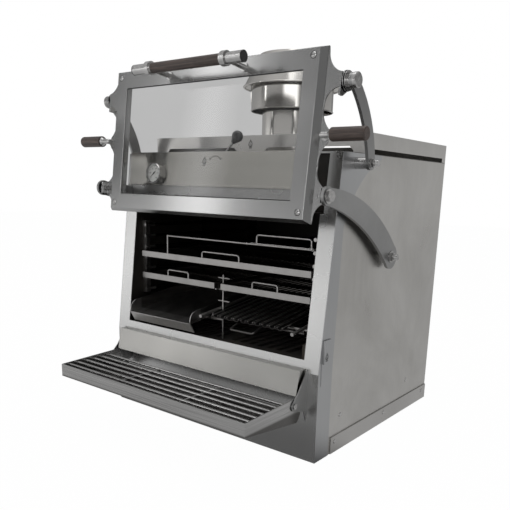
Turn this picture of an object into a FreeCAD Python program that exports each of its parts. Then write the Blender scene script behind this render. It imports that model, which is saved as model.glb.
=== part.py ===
import FreeCAD, Part
import Sketcher
import math
import os

# Charcoal oven with a lift-up glass door on crescent arms, a fold-up front shelf, an ash drawer,
# sliding grids, a plancha, a grooved grill and a capped flue.
# Sub-parts are drawn with x = 0 at the middle, y = 0 at the lower front face and z = 0 at the floor.
# Each one's Placement then moves it back by half the depth, so the origin is the middle of the base.
# Door pieces are drawn in the door's own frame: y into the door from its face, z up along the face.

# Driving sizes, in millimetres and degrees
SIZES = {
    "width": 940,
    "depth": 855,
    "kink_height": 293.5,
    "lean": 6.6,
    "deck_height": 962,
    "casing_sheet": 2,
    "frame_sheet": 3,
    "running_gap": 0.3,
    "pin_gap": 0.1,
    "opening_half": 412,
    "opening_low": 331,
    "opening_high": 778,
    "fascia_low": 847,
    "fascia_high": 964,
    "fascia_left": 455,
    "fascia_right": 368,
    "side_slot_right": 424,
    "side_slot_top": 955,
    "collar_start": 80,
    "collar_top": 957,
    "collar_lap": 23,
    "deck_start": 105,
    "seam_low": 80,
    "seam_high": 100,
    "gusset_low": 740,
    "gusset_reach": 320,
    "skirt_height": 58,
    "skirt_start": 93,
    "skirt_sheet": 4,
    "screw_front": 151,
    "screw_rear": 658,
    "screw_height": 122,
    "screw_radius": 8,
    "cavity_back": 790,
    "cavity_floor": 301,
    "ash_hole_half": 300,
    "insulation_start": 85,
    "insulation_top": 880,
    "brick_thick": 26,
    "brick_height": 70,
    "grate_thick": 11,
    "grate_half": 380,
    "grate_slot": 20,
    "grate_pitch": 40,
    "rack_start": 72,
    "rack_back": 740,
    "rail_radius": 6,
    "rail_inset": 23,
    "rail_low": 450,
    "rail_pitch": 41.25,
    "rail_count": 7,
    "post_width": 20,
    "post_inset": 17,
    "ladder_x": -4.5,
    "ladder_front": 93,
    "ladder_rear": 440,
    "leg_radius": 3,
    "support_radius": 6,
    "support_leg": 378,
    "grid_half": 389,
    "grid_gap": 30,
    "grid_bar": 21,
    "grid_strip": 4,
    "grid_length": 600,
    "grid_front": 56,
    "wire_radius": 2.5,
    "wire_pitch": 24,
    "handle_wire": 3,
    "handle_bend": 9,
    "handle_rise": 24,
    "handle_width": 105,
    "wide_handle": 170,
    "fence_left": -250,
    "shelf_left": 128,
    "shelf_front": 76,
    "shelf_length": 578,
    "shelf_wire": 4,
    "shelf_handle_rise": 30,
    "grill_slope": 8,
    "plancha_front": -16,
    "plancha_left": -380,
    "plancha_right": -62,
    "plancha_length": 490,
    "plancha_height": 374,
    "plancha_sheet": 3,
    "plancha_lip": 41,
    "plancha_rim": 39,
    "groove_first": 13,
    "groove_pitch": 31,
    "groove_count": 10,
    "groove_radius": 12,
    "groove_sheet": 2,
    "groove_front": 33,
    "groove_length": 470,
    "groove_height": 415,
    "groove_drop": 16,
    "side_rod_radius": 6,
    "side_rod_left": -16,
    "side_rod_right": 373,
    "side_rod_front": -13,
    "drawer_half": 398,
    "drawer_low": 226,
    "drawer_high": 290,
    "drawer_length": 690,
    "drawer_sheet": 2,
    "ramp_half": 421,
    "ramp_top": 304.5,
    "ramp_flange": 30,
    "ramp_reach": 48,
    "slot_gap": 4,
    "tray_half": 425,
    "tray_reach": 299,
    "tray_low": 171,
    "tray_high": 215,
    "tray_sheet": 3,
    "pivot_y": -63,
    "pivot_height": 200,
    "tray_pin": 6,
    "tray_rod": 5,
    "tray_rod_height": 208,
    "tray_rod_pitch": 35,
    "tray_rod_count": 6,
    "cheek_sheet": 3,
    "cheek_gap": 1.5,
    "guard_y": 215,
    "guard_half": 466,
    "guard_top": 1026,
    "guard_slot_top": 985,
    "guard_rail_low": 977,
    "guard_web_left": -53,
    "guard_web_right": 70,
    "guard_post": 58,
    "flue_x": -45,
    "flue_y": 534,
    "flue_radius": 115,
    "flue_sheet": 2,
    "flue_top": 1185,
    "sleeve_radius": 159,
    "sleeve_low": 1137,
    "sleeve_high": 1245,
    "cap_low_radius": 190,
    "cap_top_radius": 130,
    "cap_low": 1223,
    "cap_top": 1343,
    "strap_width": 22,
    "damper_height": 915,
    "damper_shaft": 5,
    "lever_length": 133,
    "lever_lean": 45,
    "knob_radius": 19,
    "knob_length": 46,
    "gauge_x": -309,
    "gauge_height": 887,
    "gauge_radius": 36.5,
    "gauge_proud": 22,
    "gauge_stem": 6,
    "slide_y": 18,
    "slide_width": 40,
    "slide_low": 326,
    "slide_high": 400,
    "slide_sheet": 2.5,
    "track_low": 254,
    "track_sheet": 1.5,
    "door_half": 425,
    "door_height": 471,
    "door_bottom_y": -59.5,
    "door_bottom_z": 764,
    "door_bevel": 17,
    "door_pan": 20,
    "door_lip_low": 10,
    "door_lip_high": 7,
    "glass_half": 376,
    "glass_low": 51,
    "glass_high": 415,
    "glass_lap": 8,
    "glass_thick": 5,
    "rear_plate": 5,
    "gasket_front": 34,
    "gasket_thick": 7.5,
    "gasket_width": 16,
    "seal_half": 430,
    "lobe_reach": 478,
    "upper_reach": 490,
    "lower_pin_in": 13.5,
    "lower_pin_up": 70,
    "upper_pin_in": 45.3,
    "upper_pin_up": 386.8,
    "tab_thick": 6,
    "closing_drop": 438,
    "closing_push": 21,
    "lower_swing": 414,
    "upper_swing": 115,
    "arm_thick": 10,
    "lower_arm_inner": 486,
    "upper_arm_inner": 511,
    "lower_bolt": 9,
    "upper_bolt": 8,
    "bar_out": 89.5,
    "bar_up": 439,
    "bar_radius": 16.5,
    "bar_core": 10,
    "bar_half": 232,
    "bar_wood_half": 145,
    "bar_ring_x": 160,
    "bar_ring_radius": 21.5,
    "bar_ring_width": 18,
    "bar_cap": 4,
    "grip_up": 235,
    "grip_x": 462,
    "grip_start": 494,
    "grip_end": 602,
    "grip_radius": 19,
    "grip_neck": 9,
}

document = FreeCAD.newDocument("charcoal_oven")
sheet = document.addObject("Spreadsheet::Sheet", "sizes")
for row, (alias, number) in enumerate(SIZES.items(), start=1):
    sheet.set(f"A{row}", str(number))
    sheet.setAlias(f"A{row}", alias)
document.recompute()

X_AXIS = FreeCAD.Vector(1, 0, 0)
Y_AXIS = FreeCAD.Vector(0, 1, 0)
Z_AXIS = FreeCAD.Vector(0, 0, 1)
SIDES = {"left": -1, "right": 1}
TURNS = {
    "x": FreeCAD.Rotation(Y_AXIS, 90),
    "y": FreeCAD.Rotation(X_AXIS, -90),
    "z": FreeCAD.Rotation(),
}
PLANES = {"x": "YZ_Plane", "y": "XZ_Plane", "z": "XY_Plane"}
sub_parts = []

HOME = FreeCAD.Placement(FreeCAD.Vector(0, -sheet.depth / 2, 0), FreeCAD.Rotation())
LEANING = FreeCAD.Rotation(X_AXIS, -sheet.lean)


# Helpers that turn sheet expressions into bound objects

def value(text):
    """The number that an expression over the sheet stands for."""
    return float(sheet.evalExpression(text))


def block(x, y, z, length, width, height):
    """A box by its low corner and its three sides, all bound to the sheet."""
    box = document.addObject("Part::Box", "block")
    for path, text in zip(("Placement.Base.x", "Placement.Base.y", "Placement.Base.z"), (x, y, z)):
        box.setExpression(path, text)
    for path, text in zip(("Length", "Width", "Height"), (length, width, height)):
        box.setExpression(path, text)
    return box


def rod(axis, x, y, z, radius, length):
    """A round bar that starts at a point and runs along X, Y or Z."""
    bar = document.addObject("Part::Cylinder", "rod")
    bar.Placement = FreeCAD.Placement(FreeCAD.Vector(), TURNS[axis])
    for path, text in zip(("Placement.Base.x", "Placement.Base.y", "Placement.Base.z"), (x, y, z)):
        bar.setExpression(path, text)
    bar.setExpression("Radius", radius)
    bar.setExpression("Height", length)
    return bar


def draw_loop(sketch, corners):
    """A closed loop of straight lines whose corners are bound to the sheet."""
    places = [(value(across), value(up)) for across, up in corners]
    first = sketch.GeometryCount
    count = len(corners)
    for index in range(count):
        start = FreeCAD.Vector(*places[index], 0)
        end = FreeCAD.Vector(*places[(index + 1) % count], 0)
        sketch.addGeometry(Part.LineSegment(start, end))
    for index in range(count):
        after = (index + 1) % count
        sketch.addConstraint(Sketcher.Constraint("Coincident", first + index, 2, first + after, 1))
    for index, corner in enumerate(corners):
        for kind, text, number in zip(("DistanceX", "DistanceY"), corner, places[index]):
            line = first + index
            rule = sketch.addConstraint(Sketcher.Constraint(kind, -1, 1, line, 1, number))
            sketch.setExpression(f"Constraints[{rule}]", text)


def draw_circle(sketch, across, up, radius):
    """A circle whose centre and radius are bound to the sheet."""
    centre = FreeCAD.Vector(value(across), value(up), 0)
    item = sketch.addGeometry(Part.Circle(centre, Z_AXIS, value(radius)))
    rules = (
        (Sketcher.Constraint("DistanceX", -1, 1, item, 3, centre.x), across),
        (Sketcher.Constraint("DistanceY", -1, 1, item, 3, centre.y), up),
        (Sketcher.Constraint("Radius", item, value(radius)), radius),
    )
    for constraint, text in rules:
        rule = sketch.addConstraint(constraint)
        sketch.setExpression(f"Constraints[{rule}]", text)


def plate(axis, start, thickness, corners, windows=(), holes=()):
    """A flat piece with its outline on a plane square to an axis, from start along that axis."""
    body = document.addObject("PartDesign::Body", "plate")
    plane = next(item for item in body.Origin.OriginFeatures if item.Role == PLANES[axis])
    sketch = body.newObject("Sketcher::SketchObject", "outline")
    sketch.AttachmentSupport = [(plane, "")]
    sketch.MapMode = "FlatFace"
    height = f"-(({start}) + ({thickness}))" if axis == "y" else start
    sketch.setExpression("AttachmentOffset.Base.z", height)
    draw_loop(sketch, corners)
    for window in windows:
        draw_loop(sketch, window)
    for hole in holes:
        draw_circle(sketch, *hole)
    pad = body.newObject("PartDesign::Pad", "thickness")
    pad.Profile = sketch
    pad.setExpression("Length", thickness)
    return body


def fuse(pieces):
    joined = document.addObject("Part::MultiFuse", "joined")
    joined.Shapes = pieces
    return joined


def cut(base, tool):
    carved = document.addObject("Part::Cut", "carved")
    carved.Base = base
    carved.Tool = tool
    return carved


def group(pieces):
    """Separate solids that share one node."""
    together = document.addObject("Part::Compound", "group")
    together.Links = pieces
    return together


def formed(shape):
    """A shape made with Part's own functions from sizes read in the sheet."""
    feature = document.addObject("Part::Feature", "formed")
    feature.Shape = shape
    return feature


def sub_part(label, feature, home=HOME):
    """Names a finished sub-part and puts it in its place."""
    feature.Label = label
    feature.Placement = home.multiply(feature.Placement)
    sub_parts.append(feature)
    return feature


def rectangle(low_across, low_up, high_across, high_up):
    return [(low_across, low_up), (high_across, low_up), (high_across, high_up), (low_across, high_up)]


def slope_y(height):
    """Where the front plane lies at a height: upright below the kink, leaning back above it."""
    return f"(tan(sizes.lean) * (({height}) - sizes.kink_height))"


def curved_face(steps):
    """A face in the YZ plane from points and arcs; an arc is a (middle, end) pair."""
    edges = []
    here = FreeCAD.Vector(0, *steps[0])
    first = here
    for step in steps[1:]:
        if isinstance(step[0], tuple):
            middle = FreeCAD.Vector(0, *step[0])
            end = FreeCAD.Vector(0, *step[1])
            edges.append(Part.Arc(here, middle, end).toShape())
        else:
            end = FreeCAD.Vector(0, *step)
            edges.append(Part.LineSegment(here, end).toShape())
        here = end
    if here.distanceToPoint(first) > 1e-6:
        edges.append(Part.LineSegment(here, first).toShape())
    return Part.Face(Part.Wire(edges))


def disc(x, y, z, radius, length):
    """A cylinder along X from a point."""
    return Part.makeCylinder(radius, length, FreeCAD.Vector(x, y, z), X_AXIS)


def hex_prism(x, y, z, across_flats, length):
    """A hexagon nut or bolt head along X."""
    corner = across_flats / math.sqrt(3)
    points = []
    for index in range(7):
        angle = math.radians(60 * index)
        points.append(FreeCAD.Vector(x, y + corner * math.cos(angle), z + corner * math.sin(angle)))
    return Part.Face(Part.makePolygon(points)).extrude(X_AXIS * length)


def mirrored(shape):
    """The same shape on the other side of x = 0."""
    return shape.mirror(FreeCAD.Vector(), X_AXIS)


# Casing

INNER_HALF = "(sizes.width / 2 - 2 * sizes.casing_sheet)"
OUTER_HALF = "(sizes.width / 2 - sizes.casing_sheet)"
DECK_UNDER = "(sizes.deck_height - sizes.casing_sheet)"
BACK_INNER = "(sizes.depth - sizes.casing_sheet)"


def make_floor_panel():
    corners = rectangle(f"-{INNER_HALF}", "sizes.frame_sheet", INNER_HALF, BACK_INNER)
    sub_part("floor_panel", plate("z", "0", "sizes.frame_sheet", corners))


def make_front_frame():
    """One folded sheet: upright below the kink, leaning above it. The window has a slot on each side of the fascia."""
    top = DECK_UNDER
    profile = [
        ("0", "0"),
        ("0", "sizes.kink_height"),
        (slope_y(top), top),
        (f"{slope_y(top)} + sizes.frame_sheet", top),
        ("sizes.frame_sheet", "sizes.kink_height"),
        ("sizes.frame_sheet", "0"),
    ]
    shell = plate("x", f"-{OUTER_HALF}", f"2 * {OUTER_HALF}", profile)
    window = block(
        "-sizes.opening_half", "-50", "sizes.opening_low",
        "2 * sizes.opening_half", "300", "sizes.opening_high - sizes.opening_low",
    )
    slot_half = "(sizes.drawer_half + sizes.slot_gap)"
    slot_low = "(sizes.drawer_low - sizes.slot_gap)"
    slot = block(
        f"-{slot_half}", "-50", slot_low,
        f"2 * {slot_half}", "100", f"sizes.drawer_high + sizes.slot_gap - {slot_low}",
    )
    side_slot = block(
        "sizes.fascia_right", "-50", "sizes.opening_high - 1",
        "sizes.side_slot_right - sizes.fascia_right", "300", "sizes.side_slot_top - sizes.opening_high + 1",
    )
    frame = cut(shell, fuse([window, slot, gauge_bore(), side_slot]))
    sub_part("front_frame", frame)


def gauge_bore():
    """The hole that the thermometer's stem goes through, square to the leaning front."""
    bore = formed(Part.makeCylinder(sheet.gauge_stem + 1, 40, FreeCAD.Vector(0, -20, 0), Y_AXIS))
    bore.Placement = GAUGE_SEAT
    return bore


GAUGE_SEAT = FreeCAD.Placement(
    FreeCAD.Vector(sheet.gauge_x, value(slope_y("sizes.gauge_height")), sheet.gauge_height), LEANING
)


def make_corner_wraps():
    """The casing's front corners: side strips that widen at the top to carry the upper pivots."""
    top = value(DECK_UNDER)
    seam_middle = (sheet.seam_high * 0.6 + sheet.gusset_reach * 0.4, top - (top - sheet.gusset_low) * 0.41)
    outline = curved_face([
        (0, 0),
        (0, sheet.kink_height),
        (value(slope_y(DECK_UNDER)), top),
        (sheet.gusset_reach, top),
        (sheet.gusset_reach, top - 12),
        (seam_middle, (sheet.seam_high, sheet.gusset_low)),
        (sheet.seam_low, sheet.kink_height),
        (sheet.seam_low, 0),
    ])
    inlet = Part.makeBox(
        40, sheet.slide_width - 18, sheet.slide_high - sheet.slide_low - 22,
        FreeCAD.Vector(value(OUTER_HALF) - 20, sheet.slide_y + 9, sheet.slide_low + 12),
    )
    for side, sign in SIDES.items():
        start = value(OUTER_HALF) if sign > 0 else -sheet.width / 2
        wrap = outline.extrude(X_AXIS * sheet.casing_sheet)
        wrap.translate(X_AXIS * start)
        if sign > 0:
            track = Part.makeBox(
                sheet.track_sheet, sheet.slide_width + 6, sheet.slide_high - sheet.track_low,
                FreeCAD.Vector(sheet.width / 2, sheet.slide_y - 4, sheet.track_low),
            )
            wrap = wrap.fuse(track).cut(inlet)
        sub_part(f"corner_wrap_{side}", formed(wrap))


def make_side_panels():
    profile = [
        ("sizes.frame_sheet", "0"),
        ("sizes.frame_sheet", "sizes.kink_height"),
        (f"{slope_y(DECK_UNDER)} + sizes.frame_sheet", DECK_UNDER),
        (BACK_INNER, DECK_UNDER),
        (BACK_INNER, "0"),
    ]
    inlet = rectangle(
        "sizes.slide_y + 9", "sizes.slide_low + 12",
        "sizes.slide_y + sizes.slide_width - 9", "sizes.slide_high - 10",
    )
    for side, sign in SIDES.items():
        start = INNER_HALF if sign > 0 else f"-{OUTER_HALF}"
        windows = [inlet] if sign > 0 else []
        panel = plate("x", start, "sizes.casing_sheet", profile, windows)
        sub_part(f"side_panel_{side}", panel)


def make_back_panel():
    corners = rectangle(f"-{OUTER_HALF}", "0", OUTER_HALF, "sizes.deck_height")
    sub_part("back_panel", plate("y", BACK_INNER, "sizes.casing_sheet", corners))


def make_deck_panel():
    """The top sheet, turned down at its front edge behind the lever's slot."""
    corners = rectangle(f"-{OUTER_HALF}", "sizes.deck_start", OUTER_HALF, BACK_INNER)
    bore = ("sizes.flue_x", "sizes.flue_y", "sizes.flue_radius + 1")
    top = plate("z", DECK_UNDER, "sizes.casing_sheet", corners, holes=[bore])
    turn_low = "sizes.damper_height - 22"
    flange = plate(
        "y", "sizes.deck_start", "sizes.casing_sheet",
        rectangle(f"-{INNER_HALF}", turn_low, INNER_HALF, DECK_UNDER),
        holes=[("sizes.flue_x", "sizes.damper_height", "sizes.damper_shaft + sizes.pin_gap")],
    )
    sub_part("deck_panel", fuse([top, flange]))


def make_base_skirts():
    strips = []
    for start in (OUTER_HALF, f"-{OUTER_HALF} - sizes.skirt_sheet"):
        strips.append(block(
            start, "sizes.skirt_start", "0",
            "sizes.skirt_sheet", "sizes.depth - sizes.skirt_start", "sizes.skirt_height",
        ))
    sub_part("base_skirts", group(strips))


def make_fascia_panel():
    """The plate over the opening, with a hem at its foot and a short flange at its top."""
    low = "sizes.fascia_low"
    hem_top = "(sizes.fascia_low + 7)"
    high = "sizes.fascia_high"
    under = "(sizes.fascia_high - sizes.frame_sheet)"
    profile = [
        (f"{slope_y(low)} - 2.4 * sizes.frame_sheet", low),
        (slope_y(low), low),
        (slope_y(DECK_UNDER), DECK_UNDER),
        (f"{slope_y(DECK_UNDER)} + 7", f"{DECK_UNDER} + 0.5"),
        (f"{slope_y(high)} + 7", high),
        (f"{slope_y(high)} - sizes.frame_sheet", high),
        (f"{slope_y(hem_top)} - sizes.frame_sheet", hem_top),
        (f"{slope_y(hem_top)} - 2.4 * sizes.frame_sheet", hem_top),
    ]
    sheet_metal = plate("x", "-sizes.fascia_left", "sizes.fascia_left + sizes.fascia_right", profile)
    sub_part("fascia_panel", cut(sheet_metal, gauge_bore()))


# Fire chamber

def make_cavity_liner():
    """The chamber's welded box, open in front, with an ash hole, a flue hole and a collar behind the side slot."""
    outer_low = "(sizes.cavity_floor - sizes.frame_sheet)"
    outer_high = "(sizes.opening_high + sizes.frame_sheet)"
    outer_half = "(sizes.opening_half + sizes.frame_sheet)"
    outer_back = "(sizes.cavity_back + sizes.frame_sheet)"
    shell = plate("x", f"-{outer_half}", f"2 * {outer_half}", [
        (f"{slope_y(outer_low)} + sizes.frame_sheet", outer_low),
        (outer_back, outer_low),
        (outer_back, outer_high),
        (f"{slope_y(outer_high)} + sizes.frame_sheet", outer_high),
    ])
    hollow = block(
        "-sizes.opening_half", "-50", "sizes.cavity_floor",
        "2 * sizes.opening_half", "sizes.cavity_back + 50", "sizes.opening_high - sizes.cavity_floor",
    )
    ash_hole = block(
        "-sizes.ash_hole_half", "80", f"{outer_low} - 10",
        "2 * sizes.ash_hole_half", "560", "30",
    )
    flue_hole = rod(
        "z", "sizes.flue_x", "sizes.flue_y", "sizes.opening_high - 10",
        "sizes.flue_radius - sizes.flue_sheet", "30",
    )
    box = cut(shell, fuse([hollow, ash_hole, flue_hole]))
    collar = block(
        "sizes.fascia_right - sizes.collar_lap", "sizes.collar_start", "sizes.opening_high",
        "sizes.side_slot_right - sizes.fascia_right + 2 * sizes.collar_lap", "sizes.frame_sheet",
        "sizes.collar_top - sizes.opening_high",
    )
    sub_part("cavity_liner", fuse([box, collar]))


def make_insulation_slabs():
    """Mineral slabs between the liner and the casing: two sides, back and top."""
    inner = "(sizes.opening_half + sizes.frame_sheet + sizes.running_gap)"
    outer = f"({INNER_HALF} - sizes.running_gap)"
    low = "(sizes.frame_sheet + sizes.running_gap)"
    rear = f"({BACK_INNER} - sizes.running_gap)"
    slabs = []
    for start in (inner, f"-{outer}"):
        slabs.append(block(
            start, "sizes.insulation_start", low,
            f"{outer} - {inner}", f"{rear} - sizes.insulation_start", f"sizes.insulation_top - {low}",
        ))
    behind = "(sizes.cavity_back + sizes.frame_sheet + sizes.running_gap)"
    slabs.append(block(
        f"1 - {inner}", behind, low, f"2 * ({inner} - 1)", f"{rear} - {behind}", f"sizes.insulation_top - {low}",
    ))
    above = "(sizes.opening_high + sizes.frame_sheet)"
    top = block(
        f"1 - {inner}", "sizes.deck_start + 5", above,
        f"2 * ({inner} - 1)", f"{behind} - sizes.deck_start - 6", f"sizes.insulation_top - {above}",
    )
    bore = rod("z", "sizes.flue_x", "sizes.flue_y", above, "sizes.flue_radius + 4", "200")
    slabs.append(cut(top, bore))
    sub_part("insulation_slabs", group(slabs))


def make_firebrick_lining():
    """Bricks beside and behind the embers."""
    inner = "(sizes.opening_half - sizes.brick_thick)"
    depth = "(sizes.cavity_back - 30 - sizes.brick_thick)"
    bricks = []
    for start in (inner, "-sizes.opening_half"):
        bricks.append(block(
            start, "30", "sizes.cavity_floor", "sizes.brick_thick", depth, "sizes.brick_height",
        ))
    bricks.append(block(
        "-sizes.opening_half", "sizes.cavity_back - sizes.brick_thick + 0.5", "sizes.cavity_floor",
        "2 * sizes.opening_half", "sizes.brick_thick - 0.5", "sizes.brick_height",
    ))
    sub_part("firebrick_lining", group(bricks))


def make_fire_grate():
    """The cast grate that the charcoal lies on, slotted over the ash hole."""
    slab = block(
        "-sizes.grate_half", "45", "sizes.cavity_floor",
        "2 * sizes.grate_half", "sizes.cavity_back - 45 - sizes.brick_thick - 10", "sizes.grate_thick",
    )
    slots = []
    reach = int(sheet.ash_hole_half // sheet.grate_pitch)
    columns = [index for index in range(-reach, reach + 1) if index != 0]
    for index in columns:
        for start in ("100", "375"):
            slots.append(block(
                f"{index} * sizes.grate_pitch - sizes.grate_slot / 2", start, "sizes.cavity_floor - 5",
                "sizes.grate_slot", "250", "sizes.grate_thick + 10",
            ))
    sub_part("fire_grate", cut(slab, group(slots)))


RAIL_X = "(sizes.opening_half - sizes.rail_inset)"
POST_X = "(sizes.opening_half - sizes.post_inset)"


def rail_height(level):
    return f"(sizes.rail_low + {level} * sizes.rail_pitch)"


def make_side_racks():
    """Round rails in seven levels on three posts, one rack on each wall."""
    last = int(sheet.rail_count) - 1
    racks = []
    for sign in ("", "-"):
        pieces = []
        post_low = f"({rail_height(0)} - 2.5 * sizes.rail_radius)"
        post_start = POST_X if not sign else "-sizes.opening_half"
        for back in ("sizes.rack_start + 10", "sizes.rack_start + 320", "sizes.rack_back - 40"):
            pieces.append(block(
                post_start, back, post_low,
                "sizes.post_inset", "sizes.post_width",
                f"{rail_height(last)} + 2.5 * sizes.rail_radius - {post_low}",
            ))
        for level in range(last + 1):
            pieces.append(rod(
                "y", f"{sign}{RAIL_X}", "sizes.rack_start", rail_height(level),
                "sizes.rail_radius", "sizes.rack_back - sizes.rack_start",
            ))
        racks.append(fuse(pieces))
    sub_part("side_racks", group(racks))


# Heights of the two inclined grills' undersides over the floor, as they rise to the back

def plancha_under(y):
    return f"(sizes.plancha_height - sizes.plancha_sheet + tan(sizes.grill_slope) * (({y}) - sizes.plancha_front))"


def groove_under(y):
    return f"(sizes.groove_height - sizes.groove_drop + tan(sizes.grill_slope) * (({y}) - sizes.groove_front))"


MID_LEVEL = rail_height(1)
LADDER_HALF = "(sizes.grid_gap / 2 + 11)"
SUPPORT_END = "(sizes.support_leg + 4.5)"


def make_centre_ladder():
    """Middle legs with rungs, the half grids' inner rails, and legged bars under the two low grills."""
    foot = "(sizes.cavity_floor + sizes.grate_thick)"
    pieces = []
    for y in ("sizes.ladder_front", "sizes.ladder_rear"):
        pieces.append(rod(
            "z", "sizes.ladder_x", y, foot, "sizes.leg_radius", f"{rail_height(2)} + 12 - {foot}",
        ))
        for level in (0, 1, 2):
            if level == 0 and y == "sizes.ladder_rear":
                continue
            pieces.append(rod(
                "x", f"-{LADDER_HALF}", y, rail_height(level), "sizes.leg_radius", f"2 * {LADDER_HALF}",
            ))
        plancha_bar = f"({plancha_under(y)} - sizes.support_radius - sizes.running_gap)"
        groove_bar = f"({groove_under(y)} - sizes.support_radius - 1.5 * sizes.running_gap)"
        for height, start, end, leg_x in (
            (plancha_bar, f"-{SUPPORT_END}", "sizes.ladder_x", "-sizes.support_leg"),
            (groove_bar, "sizes.ladder_x", SUPPORT_END, "sizes.support_leg"),
        ):
            pieces.append(rod("x", start, y, height, "sizes.support_radius", f"{end} - ({start})"))
            pieces.append(rod("z", leg_x, y, foot, "sizes.leg_radius", f"{height} - {foot}"))
    rail_z = f"({MID_LEVEL} + sizes.rail_radius - sizes.leg_radius)"
    for x in ("-sizes.grid_gap / 2 - 7", "sizes.grid_gap / 2 + 7"):
        pieces.append(rod(
            "y", x, "sizes.rack_start", rail_z,
            "sizes.leg_radius", "sizes.ladder_rear + 40 - sizes.rack_start",
        ))
    sub_part("centre_ladder", fuse(pieces))


def make_drawer_runners():
    """Angle rails that carry the ash drawer, standing on the floor panel."""
    ledge_top = "(sizes.drawer_low - sizes.running_gap)"
    runners = []
    for sign in ("", "-"):
        web = f"{sign}(sizes.opening_half)"
        web_inner = f"{sign}(sizes.opening_half - 3)"
        tip = f"{sign}(sizes.drawer_half - 14)"
        runners.append(plate("y", "6", "sizes.drawer_length", [
            (web, "sizes.frame_sheet"),
            (web, "sizes.drawer_high - 20"),
            (web_inner, "sizes.drawer_high - 20"),
            (web_inner, ledge_top),
            (tip, ledge_top),
            (tip, f"{ledge_top} - 3"),
            (web_inner, f"{ledge_top} - 3"),
            (web_inner, "sizes.frame_sheet"),
        ]))
    sub_part("drawer_runners", group(runners))


def make_shelf_cheeks():
    """Welded ears beside the ash drawer that the shelf swings on."""
    y = sheet.pivot_y
    z = sheet.pivot_height
    ear = 16
    outline = curved_face([
        (0, 306),
        (-45, 240),
        (y - 10, z + 12.5),
        ((y - ear, z), (y - 4, z - 15.5)),
        (-12, 168),
        (0, 135),
    ])
    start = sheet.tray_half + sheet.cheek_gap
    cheek = outline.extrude(X_AXIS * sheet.cheek_sheet)
    cheek.translate(X_AXIS * start)
    cheek = cheek.cut(disc(start - 5, y, z, sheet.tray_pin + sheet.pin_gap, 20))
    sub_part("shelf_cheeks", formed(Part.makeCompound([cheek, mirrored(cheek)])))


# Deck guard and flue

def make_guard_front():
    """The upright plate across the deck, cut out under its top bar on both sides of the middle web."""
    chamfer = 14
    corners = [
        ("-sizes.guard_half", "sizes.deck_height"),
        ("-sizes.guard_half", "sizes.guard_top - 4"),
        ("-sizes.guard_half + 4", "sizes.guard_top"),
        ("sizes.guard_half - 4", "sizes.guard_top"),
        ("sizes.guard_half", "sizes.guard_top - 4"),
        ("sizes.guard_half", "sizes.deck_height"),
    ]
    gaps = (
        ("(sizes.guard_web_right)", "(sizes.guard_half - sizes.guard_post + 14)"),
        ("(-sizes.guard_half + sizes.guard_post)", "(sizes.guard_web_left)"),
    )
    for left, right in gaps:
        corners_of_gap = [
            (right, "sizes.deck_height"),
            (right, f"sizes.guard_slot_top - {chamfer}"),
            (f"{right} - {chamfer}", "sizes.guard_slot_top"),
            (f"{left} + {chamfer}", "sizes.guard_slot_top"),
            (left, f"sizes.guard_slot_top - {chamfer}"),
            (left, "sizes.deck_height"),
        ]
        corners.extend(corners_of_gap)
    sub_part("guard_front", plate("y", "sizes.guard_y", "sizes.casing_sheet", corners))


def make_guard_rail():
    """The guard's rear strip on the deck and its side strips, raised off the deck between their feet."""
    height = "sizes.guard_top - sizes.guard_rail_low"
    start = "(sizes.guard_y + sizes.casing_sheet)"
    run = f"sizes.depth - {start}"
    foot = "30"
    rail_outer = "(sizes.guard_half + sizes.casing_sheet)"
    pieces = [block(
        f"-{rail_outer}", BACK_INNER, "sizes.deck_height",
        f"2 * {rail_outer}", "sizes.casing_sheet", "sizes.guard_top - sizes.deck_height",
    )]
    for x in ("sizes.guard_half", f"-{rail_outer}"):
        pieces.append(block(x, start, "sizes.guard_rail_low", "sizes.casing_sheet", run, height))
        pieces.append(block(
            x, f"sizes.depth - {foot}", "sizes.deck_height",
            "sizes.casing_sheet", foot, "sizes.guard_top - sizes.deck_height",
        ))
        pieces.append(block(
            x, start, "sizes.deck_height",
            "sizes.casing_sheet", foot, "sizes.guard_top - sizes.deck_height",
        ))
    sub_part("guard_rail", fuse(pieces))


def tube(x, y, low, high, outer, wall):
    """An upright round shell."""
    base = FreeCAD.Vector(x, y, low)
    shell = Part.makeCylinder(outer, high - low, base, Z_AXIS)
    return shell.cut(Part.makeCylinder(outer - wall, high - low, base, Z_AXIS))


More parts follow.
